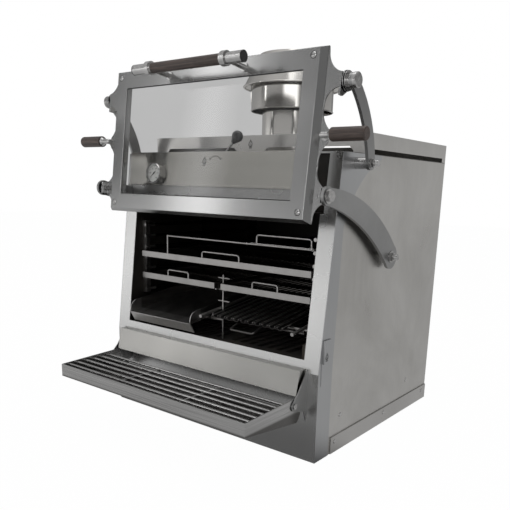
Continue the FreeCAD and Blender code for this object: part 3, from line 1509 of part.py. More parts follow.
def make_side_grips():
    """Short wooden grips that stick out sideways from the door's middle horns."""
    x = sheet.grip_x
    z = sheet.grip_up
    pan = sheet.door_pan
    neck = sheet.grip_neck
    start = sheet.grip_start
    base = Part.makeCylinder(13, 4, FreeCAD.Vector(x, pan - 4, z), Y_AXIS)
    riser = Part.makeCylinder(neck, pan, FreeCAD.Vector(x, 0, z), Y_AXIS)
    elbow = Part.makeSphere(neck, FreeCAD.Vector(x, 0, z))
    arm = disc(x, 0, z, neck, start - x)
    collar = Part.makeCone(neck, 15, 10, FreeCAD.Vector(start - 12, 0, z), X_AXIS)
    ring = disc(start - 2, 0, z, 15, 2)
    tang = disc(start, 0, z, 5, 60)
    holder = base.fuse([riser, elbow, arm, collar, ring, tang])
    sub_part("grip_necks", formed(Part.makeCompound([holder, mirrored(holder)])), DOOR_HOME)
    end = sheet.grip_end
    radius = sheet.grip_radius
    wood = disc(start + sheet.running_gap, 0, z, radius, end - start - sheet.running_gap)
    wood = wood.makeFillet(4, [edge for edge in wood.Edges if abs(edge.BoundBox.XMax - end) < 0.1])
    wood = wood.cut(disc(start, 0, z, 5 + sheet.pin_gap, 61))
    sub_part("side_grips", formed(Part.makeCompound([wood, mirrored(wood)])), DOOR_HOME)


# Linkage. The door keeps its lean while it drops, so each arm's two pins stand on circles whose
# centres lie on the perpendicular bisector of the closing move.

def door_pin(pin_in, pin_up):
    """A pin of the open door, from the door's frame to the oven's (y, z)."""
    place = DOOR_SEAT.multVec(FreeCAD.Vector(0, pin_in, pin_up))
    return place.y, place.z


def body_pin(pin, swing):
    """The pivot on the casing for a door pin."""
    push = sheet.closing_push
    drop = sheet.closing_drop
    size = math.hypot(push, drop)
    middle = (pin[0] + push / 2, pin[1] - drop / 2)
    return middle[0] + swing * drop / size, middle[1] + swing * push / size


LOWER_DOOR_PIN = door_pin(sheet.lower_pin_in, sheet.lower_pin_up)
UPPER_DOOR_PIN = door_pin(sheet.upper_pin_in, sheet.upper_pin_up)
LOWER_BODY_PIN = body_pin(LOWER_DOOR_PIN, sheet.lower_swing)
UPPER_BODY_PIN = body_pin(UPPER_DOOR_PIN, sheet.upper_swing)


def crescent(door_pin_at, body_pin_at, door_eye, body_eye, outer_bulge, inner_bulge, x):
    """A bowed flat arm between two pins, bulging upward and back, with round eyes."""
    run = (body_pin_at[0] - door_pin_at[0], body_pin_at[1] - door_pin_at[1])
    length = math.hypot(*run)
    along = (run[0] / length, run[1] / length)
    across = (-along[1], along[0])

    def at(forward, outward):
        return (
            door_pin_at[0] + along[0] * forward + across[0] * outward,
            door_pin_at[1] + along[1] * forward + across[1] * outward,
        )

    blade = curved_face([
        at(0, door_eye * 0.97),
        (at(length * 0.52, outer_bulge), at(length + body_eye * 0.35, body_eye * 0.9)),
        at(length - body_eye * 0.35, -body_eye * 0.9),
        (at(length * 0.42, inner_bulge), at(0, -door_eye * 0.97)),
    ]).extrude(X_AXIS * sheet.arm_thick)
    blade.translate(X_AXIS * x)
    eyes = [
        disc(x, *door_pin_at, door_eye, sheet.arm_thick),
        disc(x, *body_pin_at, body_eye, sheet.arm_thick),
    ]
    return blade.fuse(eyes).removeSplitter()


def make_arms():
    x = sheet.lower_arm_inner
    lower = crescent(LOWER_DOOR_PIN, LOWER_BODY_PIN, 27, 41, 77, 3, x)
    for pin in (LOWER_DOOR_PIN, LOWER_BODY_PIN):
        lower = lower.cut(disc(x - 1, *pin, sheet.lower_bolt + sheet.pin_gap, sheet.arm_thick + 2))
    x = sheet.upper_arm_inner
    upper = crescent(UPPER_DOOR_PIN, UPPER_BODY_PIN, 21, 20, 46, 2, x)
    for pin in (UPPER_DOOR_PIN, UPPER_BODY_PIN):
        upper = upper.cut(disc(x - 1, *pin, sheet.upper_bolt + sheet.pin_gap, sheet.arm_thick + 2))
    sub_part("lower_arm_right", formed(lower))
    sub_part("lower_arm_left", formed(mirrored(lower)))
    sub_part("upper_arm_right", formed(upper))
    sub_part("upper_arm_left", formed(mirrored(upper)))


def make_arm_bolts():
    """Bolts at the door's ends of the arms. The upper ones stop short of the door's tabs."""
    tab_inner = sheet.lobe_reach - 4
    tab_outer = tab_inner + sheet.tab_thick + 1
    thick = sheet.arm_thick
    gap = sheet.running_gap
    lower_out = sheet.lower_arm_inner + thick
    pin = LOWER_DOOR_PIN
    bolt = disc(tab_inner - 4, *pin, sheet.lower_bolt, lower_out + 8 - tab_inner + 4)
    spacer = disc(tab_outer + gap, *pin, 22, sheet.lower_arm_inner - tab_outer - gap)
    washer = disc(lower_out, *pin, 21, 3)
    head = hex_prism(lower_out + 3, *pin, 28, 10)
    bolt = bolt.fuse([spacer, washer, head])
    sub_part("lower_arm_bolts", formed(Part.makeCompound([bolt, mirrored(bolt)])))
    upper_out = sheet.upper_arm_inner + thick
    pin = UPPER_DOOR_PIN
    start = sheet.upper_reach - 4 + sheet.tab_thick + 1.7
    stack = sheet.upper_arm_inner - start
    bolt = disc(start, *pin, sheet.upper_bolt, upper_out + 4 - start)
    sleeve = disc(start, *pin, 18, stack)
    inner_washer = disc(start, *pin, 28, stack * 0.22)
    outer_washer = disc(start + stack * 0.32, *pin, 27, stack * 0.2)
    head = disc(upper_out, *pin, 21.5, 10)
    crown = Part.makeCone(21.5, 18, 2.5, FreeCAD.Vector(upper_out + 10, *pin), X_AXIS)
    bolt = bolt.fuse([sleeve, inner_washer, outer_washer, head, crown])
    sub_part("upper_arm_bolts", formed(Part.makeCompound([bolt, mirrored(bolt)])))


def make_arm_hubs():
    """Studs on the casing that the arms turn on: boss, stud, washer and nut."""
    thick = sheet.arm_thick
    gap = sheet.running_gap
    hubs = []
    lower_seat = value(OUTER_HALF)
    upper_seat = sheet.width / 2
    pieces = (
        (LOWER_BODY_PIN, lower_seat, sheet.lower_arm_inner, sheet.lower_bolt, 24, 27),
        (UPPER_BODY_PIN, upper_seat, sheet.upper_arm_inner, sheet.upper_bolt, 17, 24),
    )
    for pin, seat, arm_inner, radius, boss_radius, nut_size in pieces:
        outer = arm_inner + thick + gap
        boss = disc(seat, *pin, boss_radius, arm_inner - gap - seat)
        stud = disc(seat, *pin, radius, outer - seat + 24)
        washer = disc(outer, *pin, boss_radius * 0.86, 2)
        nut = hex_prism(outer + 2, *pin, nut_size, 8)
        hub = boss.fuse([stud, washer, nut])
        hubs.extend([hub, mirrored(hub)])
    sub_part("arm_hubs", formed(Part.makeCompound(hubs)))


make_floor_panel()
make_front_frame()
make_corner_wraps()
make_side_panels()
make_back_panel()
make_deck_panel()
make_base_skirts()
make_fascia_panel()
make_cavity_liner()
make_insulation_slabs()
make_firebrick_lining()
make_fire_grate()
make_side_racks()
make_centre_ladder()
make_drawer_runners()
make_shelf_cheeks()
make_guard_front()
make_guard_rail()
make_flue()
make_panel_screws()
make_thermometer()
make_damper()
make_air_slide()
make_ash_drawer()
make_front_shelf()
make_grids()
make_top_shelf()
make_plancha()
make_grooved_grill()
make_door_frame()
make_door_rear_plate()
make_door_inner_frame()
make_door_gasket()
make_door_glass()
make_door_screws()
make_door_handle()
make_side_grips()
make_arms()
make_arm_bolts()
make_arm_hubs()

document.recompute()

# Checks and export

for item in document.Objects:
    if "Invalid" in item.State or "Error" in item.State:
        raise RuntimeError(f"{item.Label} did not recompute: {item.State}")
for item in sub_parts:
    if item.Shape.isNull() or not item.Shape.isValid() or not item.Shape.Solids:
        raise RuntimeError(f"{item.Label} has no valid shape")

os.makedirs("parts", exist_ok=True)
for item in sub_parts:
    item.Shape.exportStep(f"parts/{item.Label}.step")
print(len(sub_parts), "sub-parts written")
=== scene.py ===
import math

import bmesh
import bpy
from mathutils import Matrix, Vector


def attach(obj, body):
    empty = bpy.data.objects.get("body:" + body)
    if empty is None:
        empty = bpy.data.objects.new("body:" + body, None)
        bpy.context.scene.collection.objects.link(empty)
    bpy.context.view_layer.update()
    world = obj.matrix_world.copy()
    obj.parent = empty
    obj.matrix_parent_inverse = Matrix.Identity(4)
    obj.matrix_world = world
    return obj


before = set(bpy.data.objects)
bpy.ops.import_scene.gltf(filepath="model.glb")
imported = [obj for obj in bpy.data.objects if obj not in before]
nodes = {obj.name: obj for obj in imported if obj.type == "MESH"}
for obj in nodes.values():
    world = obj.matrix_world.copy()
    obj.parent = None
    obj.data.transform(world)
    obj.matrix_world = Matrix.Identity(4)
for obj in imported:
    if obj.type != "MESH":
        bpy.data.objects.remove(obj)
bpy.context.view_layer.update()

# Casing: half its depth, its front's lean, and the height from which the front leans
HALF_DEPTH = 0.4275
LEAN = math.radians(6.6)
KINK = 0.2935

# Inner faces of the guard's side strips, measured from the middle plane; they are painted in shade
GUARD_INNER = 0.4666

# Depths behind the lower front face beyond which the steel in the chamber is painted darker, as shade deeper
# in the chamber
GRID_SHADE_DEPTH = 0.063
TOP_SHELF_SHADE_DEPTH = 0.081
LADDER_SHADE_DEPTH = 0.105
RACK_SHADE_DEPTH = 0.12
PLATE_SHADE_DEPTH = 0.036

# Grooved grill: depth and height of its front lip, and its slope
GROOVE_FRONT = 0.033
GROOVE_LIP = 0.411
GROOVE_SLOPE = math.radians(8)

# Height below which the folding shelf's pan is painted darker as shade, and above which the front is painted
# darker as shade
SHELF_SHADE_BELOW = 0.1745
FRONT_SHADE_ABOVE = 0.79

# Foot of the open door's face: how far it stands before the lower front face, and its height
DOOR_FOOT_PROUD = 0.0595
DOOR_FOOT = 0.764


def row_y(depth):
    """Row-frame y of a depth behind the lower front face."""
    return depth - HALF_DEPTH


def front_y(z):
    """Row-frame y of the leaning front plane at a height."""
    return row_y(max(0.0, z - KINK) * math.tan(LEAN))


# Shader building

class Graph:
    """A node tree with short calls for adding and joining nodes."""

    def __init__(self, tree):
        self.tree = tree
        self.tree.nodes.clear()

    def new(self, kind):
        return self.tree.nodes.new(kind)

    def link(self, a, b):
        self.tree.links.new(a, b)

    def feed(self, socket, item):
        """Sets a socket to a number or joins it to another node's output."""
        if isinstance(item, (int, float)):
            socket.default_value = item
        else:
            self.link(item, socket)

    def axes(self, kind="Object"):
        """The X, Y and Z parts of a texture coordinate."""
        coords = self.new("ShaderNodeTexCoord")
        parts = self.new("ShaderNodeSeparateXYZ")
        self.link(coords.outputs[kind], parts.inputs[0])
        return parts.outputs

    def remap(self, value, low, high, to_low, to_high):
        node = self.new("ShaderNodeMapRange")
        for key, number in (("From Min", low), ("From Max", high), ("To Min", to_low), ("To Max", to_high)):
            node.inputs[key].default_value = number
        self.link(value, node.inputs["Value"])
        return node.outputs["Result"]

    def math(self, operation, a, b=0):
        node = self.new("ShaderNodeMath")
        node.operation = operation
        self.feed(node.inputs[0], a)
        self.feed(node.inputs[1], b)
        return node.outputs[0]

    def ramp(self, value, stops, interpolation="LINEAR"):
        """Colours by value; a stop is a place with a colour or a grey level."""
        node = self.new("ShaderNodeValToRGB")
        node.color_ramp.interpolation = interpolation
        elements = node.color_ramp.elements
        while len(elements) < len(stops):
            elements.new(0.5)
        for element, (place, colour) in zip(elements, stops):
            element.position = place
            element.color = (*colour, 1) if isinstance(colour, tuple) else (colour, colour, colour, 1)
        self.link(value, node.inputs["Fac"])
        return node.outputs["Color"]

    def light(self, kind, strength):
        """White light: a background's or an emitting surface's."""
        node = self.new(kind)
        node.inputs["Color"].default_value = (1, 1, 1, 1)
        self.feed(node.inputs["Strength"], strength)
        return node.outputs[0]

    def switch(self, factor, a, b):
        """Shader a where the factor is 0 and shader b where it is 1."""
        join = self.new("ShaderNodeMixShader")
        self.link(factor, join.inputs["Fac"])
        self.link(a, join.inputs[1])
        self.link(b, join.inputs[2])
        return join.outputs[0]


class Shader(Graph):
    """A material with a Principled shader."""

    def __init__(self, name):
        self.material = bpy.data.materials.new(name)
        self.material.use_nodes = True
        super().__init__(self.material.node_tree)
        self.output = self.new("ShaderNodeOutputMaterial")
        self.surface = self.new("ShaderNodeBsdfPrincipled")
        self.link(self.surface.outputs[0], self.output.inputs["Surface"])
        self.coords = self.new("ShaderNodeTexCoord")

    def set(self, **values):
        for key, number in values.items():
            self.surface.inputs[key.replace("_", " ")].default_value = number

    def mapped(self, scale=(1, 1, 1), rotation=(0, 0, 0), location=(0, 0, 0)):
        node = self.new("ShaderNodeMapping")
        node.inputs["Scale"].default_value = scale
        node.inputs["Rotation"].default_value = rotation
        node.inputs["Location"].default_value = location
        self.link(self.coords.outputs["Object"], node.inputs["Vector"])
        return node.outputs["Vector"]

    def noise(self, vector, scale, detail=4.0, rough=0.55, distortion=0.0):
        node = self.new("ShaderNodeTexNoise")
        node.inputs["Scale"].default_value = scale
        node.inputs["Detail"].default_value = detail
        node.inputs["Roughness"].default_value = rough
        node.inputs["Distortion"].default_value = distortion
        self.link(vector, node.inputs["Vector"])
        return node.outputs["Fac"]

    def wave(self, vector, scale, distortion):
        node = self.new("ShaderNodeTexWave")
        node.inputs["Scale"].default_value = scale
        node.inputs["Distortion"].default_value = distortion
        self.link(vector, node.inputs["Vector"])
        return node.outputs["Fac"]

    def mix(self, factor, a, b):
        node = self.new("ShaderNodeMix")
        node.data_type = "RGBA"
        for key, item in (("Factor", factor), ("A", a), ("B", b)):
            self.feed_colour(node.inputs[key], item)
        return node.outputs["Result"]

    def feed_colour(self, socket, item):
        """Sets a socket to a colour, or joins it as feed does."""
        if isinstance(item, tuple):
            socket.default_value = (*item, 1)
        else:
            self.feed(socket, item)

    def bump(self, height, strength, distance, edge=0.0):
        """Relief from a height, with edges rounded to a radius for the light only."""
        node = self.new("ShaderNodeBump")
        node.inputs["Strength"].default_value = strength
        node.inputs["Distance"].default_value = distance
        self.link(height, node.inputs["Height"])
        if edge:
            bevel = self.new("ShaderNodeBevel")
            bevel.samples = 4
            bevel.inputs["Radius"].default_value = edge
            self.link(bevel.outputs[0], node.inputs["Normal"])
        self.link(node.outputs[0], self.surface.inputs["Normal"])

    def place(self, axis, size=False):
        """A coordinate of the surface in the oven's own frame, or its distance from the middle plane."""
        value = self.axes()["XYZ".index(axis)]
        return self.math("ABSOLUTE", value) if size else value

    def streaked(self, amount):
        """Stretches highlights square to horizontal brushing."""
        tangent = self.new("ShaderNodeTangent")
        tangent.direction_type = "RADIAL"
        tangent.axis = "Z"
        self.link(tangent.outputs[0], self.surface.inputs["Tangent"])
        self.set(Anisotropic=amount, Anisotropic_Rotation=0.25)

    def colour(self, socket):
        self.link(socket, self.surface.inputs["Base Color"])

    def rough(self, socket):
        self.link(socket, self.surface.inputs["Roughness"])


def stretched(direction, along=2.5, across=420.0):
    """Mapping scales for brushing that runs along X, Y or Z."""
    scales = [across, across, across]
    scales["xyz".index(direction)] = along
    return tuple(scales)


def brushed_steel(
    name, direction, light, dark, rough=(0.24, 0.36), soot=0.0, streak=0.0, fold=0.0008, shade_above=0.0,
):
    """Stainless sheet: fine brushing along one direction under cloudy wear, with painted shade above a given
    height.
    """
    shader = Shader(name)
    shader.set(Metallic=1.0)
    lines = shader.noise(shader.mapped(stretched(direction)), 1.0, 3.0, 0.6)
    cloudy = shader.noise(shader.mapped(), 2.2, 3.0, 0.5, 0.2)
    blend = shader.math("ADD", shader.math("MULTIPLY", lines, 0.22), shader.math("MULTIPLY", cloudy, 0.78))
    tone = shader.ramp(blend, [(0.25, dark), (0.75, light)])
    if soot:
        spots = shader.noise(shader.mapped(), 14.0, 8.0, 0.7)
        grime = shader.remap(spots, 0.56, 0.76, 0.0, soot)
        tone = shader.mix(grime, tone, (0.07, 0.055, 0.04))
    # Painted shade: the tone is darkened above the given height.
    if shade_above:
        above = shader.remap(shader.place("Z"), shade_above, shade_above + 0.03, 0.0, 1.0)
        tone = shader.mix(above, tone, tuple(part * 0.66 for part in dark))
    shader.colour(tone)
    smear = shader.noise(shader.mapped(location=(3, 1, 2)), 5.0, 2.0, 0.5)
    shader.rough(shader.remap(smear, 0.15, 0.85, *rough))
    if streak:
        shader.streaked(streak)
    shader.bump(lines, 0.06, 0.0003, fold)
    return shader.material


def side_steel(name, light, dark, seed, inner=0.0):
    """Sheet with broad soft swirls left by brushing, with painted shade on faces nearer the middle than a
    width.
    """
    shader = Shader(name)
    shader.set(Metallic=1.0)
    lines = shader.noise(shader.mapped(stretched("z", 3.0, 300.0)), 1.0, 3.0, 0.6)
    swirl = shader.noise(shader.mapped((1, 1.3, 0.8), location=(seed, 0.4, 0.2)), 1.9, 5.0, 0.6, 1.6)
    cloudy = shader.noise(shader.mapped(location=(seed, 2, 5)), 6.0, 5.0, 0.6, 0.5)
    level = shader.math(
        "ADD", shader.math("MULTIPLY", swirl, 0.62),
        shader.math("ADD", shader.math("MULTIPLY", cloudy, 0.26), shader.math("MULTIPLY", lines, 0.12)),
    )
    tone = shader.ramp(level, [(0.34, dark), (0.66, light)])
    # Painted shade: faces nearer the middle than the width, short of the back, are painted near black.
    if inner:
        within = shader.remap(shader.place("X", True), inner - 0.0003, inner + 0.0003, 1.0, 0.0)
        before_back = shader.remap(shader.place("Y"), HALF_DEPTH - 0.0015, HALF_DEPTH - 0.0009, 1.0, 0.0)
        tone = shader.mix(shader.math("MULTIPLY", within, before_back), tone, (0.07, 0.067, 0.063))
    shader.colour(tone)
    shader.rough(shader.remap(swirl, 0.3, 0.7, 0.27, 0.4))
    shader.bump(lines, 0.05, 0.0003, 0.0008)
    return shader.material


def sooty_steel(name):
    """Steel inside the chamber: black, dull, with brown heat tints and a few ash specks."""
    shader = Shader(name)
    shader.set(Metallic=0.6)
    cloudy = shader.noise(shader.mapped(), 6.0, 7.0, 0.62, 0.5)
    fine = shader.noise(shader.mapped(), 160.0, 3.0, 0.6)
    tone = shader.ramp(cloudy, [(0.3, (0.012, 0.0115, 0.011)), (0.72, (0.03, 0.025, 0.02))])
    ash = shader.remap(fine, 0.7, 0.8, 0.0, 0.25)
    shader.colour(shader.mix(ash, tone, (0.12, 0.115, 0.11)))
    shader.rough(shader.remap(cloudy, 0.3, 0.7, 0.4, 0.7))
    shader.bump(fine, 0.2, 0.0004, 0.0006)
    return shader.material


def bar_steel(name, light, dark, rough, scale=28.0):
    """Round bars and small fittings: bright steel with heat staining along the bars."""
    shader = Shader(name)
    shader.set(Metallic=1.0)
    stain = shader.noise(shader.mapped(), scale, 6.0, 0.65, 0.3)
    patch = shader.noise(shader.mapped(location=(2, 3, 1)), 4.0, 3.0, 0.5)
    level = shader.math("ADD", shader.math("MULTIPLY", stain, 0.5), shader.math("MULTIPLY", patch, 0.6))
    shader.colour(shader.ramp(level, [(0.4, dark), (0.68, light)]))
    shader.rough(shader.remap(stain, 0.3, 0.7, *rough))
    shader.bump(stain, 0.08, 0.0003, 0.0005)
    return shader.material


def two_tone_steel(name, axis, edge, near, far, rough=(0.26, 0.42), grain=(22, 22, 22)):
    """Steel of one tone before a plane across an axis and of another tone beyond it."""
    shader = Shader(name)
    shader.set(Metallic=1.0)
    stain = shader.noise(shader.mapped(grain), 1.0, 3.0, 0.5)
    beyond = shader.remap(shader.place(axis), edge - 0.002, edge + 0.004, 0.0, 1.0)
    near_tone = shader.ramp(stain, [(0.25, tuple(part * 0.82 for part in near)), (0.75, near)])
    far_tone = shader.ramp(stain, [(0.25, tuple(part * 0.6 for part in far)), (0.75, far)])
    shader.colour(shader.mix(beyond, near_tone, far_tone))
    shader.rough(shader.remap(stain, 0.2, 0.8, *rough))
    shader.bump(stain, 0.05, 0.0003, 0.0005)
    return shader.material


def trough_steel(name, front, height, slope, lips, bed):
    """Half-round troughs: a painted highlight along their upper lips, painted shade in their beds."""
    shader = Shader(name)
    shader.set(Metallic=1.0)
    stain = shader.noise(shader.mapped((160, 14, 160)), 1.0, 3.0, 0.5)
    rise = shader.math("MULTIPLY", shader.math("SUBTRACT", shader.place("Y"), front), math.tan(slope))
    depth = shader.math("SUBTRACT", shader.math("ADD", rise, height), shader.place("Z"))
    # Painted highlight on the lips, painted shade in the beds, by depth below the lips.
    lip_highlight_tone = shader.ramp(stain, [(0.25, tuple(part * 0.8 for part in lips)), (0.75, lips)])
    dark = shader.ramp(stain, [(0.25, tuple(part * 0.6 for part in bed)), (0.75, bed)])
    shader.colour(shader.mix(shader.remap(depth, 0.0015, 0.0045, 0.0, 1.0), lip_highlight_tone, dark))
    shader.rough(shader.remap(stain, 0.2, 0.8, 0.3, 0.42))
    shader.bump(stain, 0.08, 0.0003, 0.0005)
    return shader.material


def washer_stack(name, stops):
    """Turned steel (1) and black washers (0), from stops measured outward from the middle plane."""
    near, far = 0.46, 0.54
    shader = Shader(name)
    shader.set(Metallic=1.0)
    stain = shader.noise(shader.mapped(), 60.0, 4.0, 0.6)
    steel = shader.ramp(stain, [(0.34, (0.36, 0.355, 0.35)), (0.66, (0.56, 0.555, 0.55))])
    across = shader.remap(shader.place("X", True), near, far, 0.0, 1.0)
    bands = [((place - near) / (far - near), level) for place, level in stops]
    band = shader.ramp(across, bands, "CONSTANT")
    shader.colour(shader.mix(band, (0.012, 0.012, 0.013), steel))
    shader.rough(shader.remap(stain, 0.3, 0.7, 0.16, 0.3))
    shader.bump(stain, 0.06, 0.0003, 0.0006)
    return shader.material


def cast_iron(name):
    shader = Shader(name)
    shader.set(Metallic=0.4)
    grain = shader.noise(shader.mapped(), 320.0, 6.0, 0.7)
    cloudy = shader.noise(shader.mapped(), 9.0, 5.0, 0.6)
    tone = shader.ramp(cloudy, [(0.3, (0.03, 0.03, 0.03)), (0.75, (0.085, 0.075, 0.065))])
    shader.colour(shader.mix(shader.remap(grain, 0.6, 0.75, 0, 0.45), tone, (0.32, 0.3, 0.28)))
    shader.rough(shader.remap(grain, 0.3, 0.7, 0.62, 0.9))
    shader.bump(grain, 0.5, 0.001, 0.001)
    return shader.material


def firebrick(name):
    shader = Shader(name)
    shader.set(Metallic=0.0)
    pores = shader.noise(shader.mapped(), 210.0, 7.0, 0.75)
    cloudy = shader.noise(shader.mapped(), 7.0, 5.0, 0.6)
    shader.colour(shader.ramp(cloudy, [(0.3, (0.02, 0.018, 0.016)), (0.75, (0.08, 0.065, 0.05))]))
    shader.rough(shader.remap(pores, 0.3, 0.7, 0.8, 1.0))
    shader.bump(pores, 0.7, 0.0015, 0.002)
    return shader.material


def mineral_wool(name):
    shader = Shader(name)
    fibres = shader.noise(shader.mapped((90, 90, 400)), 1.0, 6.0, 0.7, 1.2)
    shader.colour(shader.ramp(fibres, [(0.3, (0.42, 0.38, 0.27)), (0.75, (0.7, 0.66, 0.52))]))
    shader.rough(shader.remap(fibres, 0.3, 0.7, 0.85, 1.0))
    shader.bump(fibres, 0.8, 0.002)
    return shader.material


def rope_seal(name):
    shader = Shader(name)
    twist = shader.wave(shader.mapped((90, 90, 90), rotation=(0.6, 0.5, 0.7)), 1.0, 1.5)
    fuzz = shader.noise(shader.mapped(), 900.0, 3.0, 0.7)
    tone = shader.ramp(twist, [(0.2, (0.05, 0.045, 0.04)), (0.8, (0.16, 0.15, 0.135))])
    shader.colour(shader.mix(shader.remap(fuzz, 0.4, 0.7, 0, 0.4), tone, (0.24, 0.22, 0.2)))
    shader.rough(shader.remap(fuzz, 0.3, 0.7, 0.85, 1.0))
    shader.bump(twist, 0.7, 0.001)
    return shader.material


def dark_wood(name):
    """Oiled dark hardwood, its grain along X."""
    shader = Shader(name)
    flow = shader.mapped((7, 95, 95))
    figure = shader.noise(flow, 1.0, 6.0, 0.6, 1.6)
    pores = shader.noise(shader.mapped((60, 900, 900)), 1.0, 3.0, 0.6)
    tone = shader.ramp(figure, [
        (0.3, (0.018, 0.013, 0.011)), (0.5, (0.05, 0.034, 0.028)), (0.72, (0.1, 0.072, 0.06)),
    ])
    shader.colour(shader.mix(shader.remap(pores, 0.6, 0.74, 0, 0.75), tone, (0.009, 0.006, 0.005)))
    shader.rough(shader.remap(figure, 0.3, 0.7, 0.38, 0.55))
    shader.set(Coat_Weight=0.12, Coat_Roughness=0.35)
    shader.bump(pores, 0.25, 0.0004)
    return shader.material


def satin_black(name, tone, rough):
    shader = Shader(name)
    speck = shader.noise(shader.mapped(), 120.0, 4.0, 0.6)
    lift = tuple(part * 2.2 for part in tone)
    shader.colour(shader.ramp(speck, [(0.35, tone), (0.75, lift)]))
    shader.rough(shader.remap(speck, 0.3, 0.7, *rough))
    shader.bump(speck, 0.08, 0.0003, 0.001)
    return shader.material


def clear_glass(name, tint):
    """Clear pane with the faintest smears; light passes it without a dark shadow."""
    shader = Shader(name)
    shader.set(Transmission_Weight=1.0, IOR=1.3, Roughness=0.0, Specular_IOR_Level=0.0)
    smear = shader.noise(shader.mapped((1, 1, 2.2), rotation=(0, 0.6, 0)), 4.0, 3.0, 0.5, 0.4)
    shader.colour(shader.ramp(smear, [(0.2, tint), (0.8, tuple(min(1, part * 1.03) for part in tint))]))
    path = shader.new("ShaderNodeLightPath")
    through = shader.new("ShaderNodeBsdfTransparent")
    through.inputs["Color"].default_value = (*(math.sqrt(part) for part in tint), 1)
    passing = shader.math("MAXIMUM", path.outputs["Is Shadow Ray"], path.outputs["Is Diffuse Ray"])
    seen = shader.switch(passing, shader.surface.outputs[0], through.outputs[0])
    shader.link(seen, shader.output.inputs["Surface"])
    return shader.material


def dial_face(name):
    shader = Shader(name)
    grain = shader.noise(shader.mapped(), 300.0, 3.0, 0.6)
    shader.colour(shader.ramp(grain, [(0.3, (0.88, 0.87, 0.84)), (0.8, (0.93, 0.92, 0.89))]))
    shader.rough(shader.remap(grain, 0.3, 0.7, 0.4, 0.55))
    return shader.material


def ink(name, tone):
    shader = Shader(name)
    grain = shader.noise(shader.mapped(), 400.0, 2.0, 0.6)
    shader.colour(shader.ramp(grain, [(0.2, tone), (0.9, tuple(part * 1.4 + 0.004 for part in tone))]))
    shader.rough(shader.remap(grain, 0.3, 0.7, 0.45, 0.6))
    return shader.material


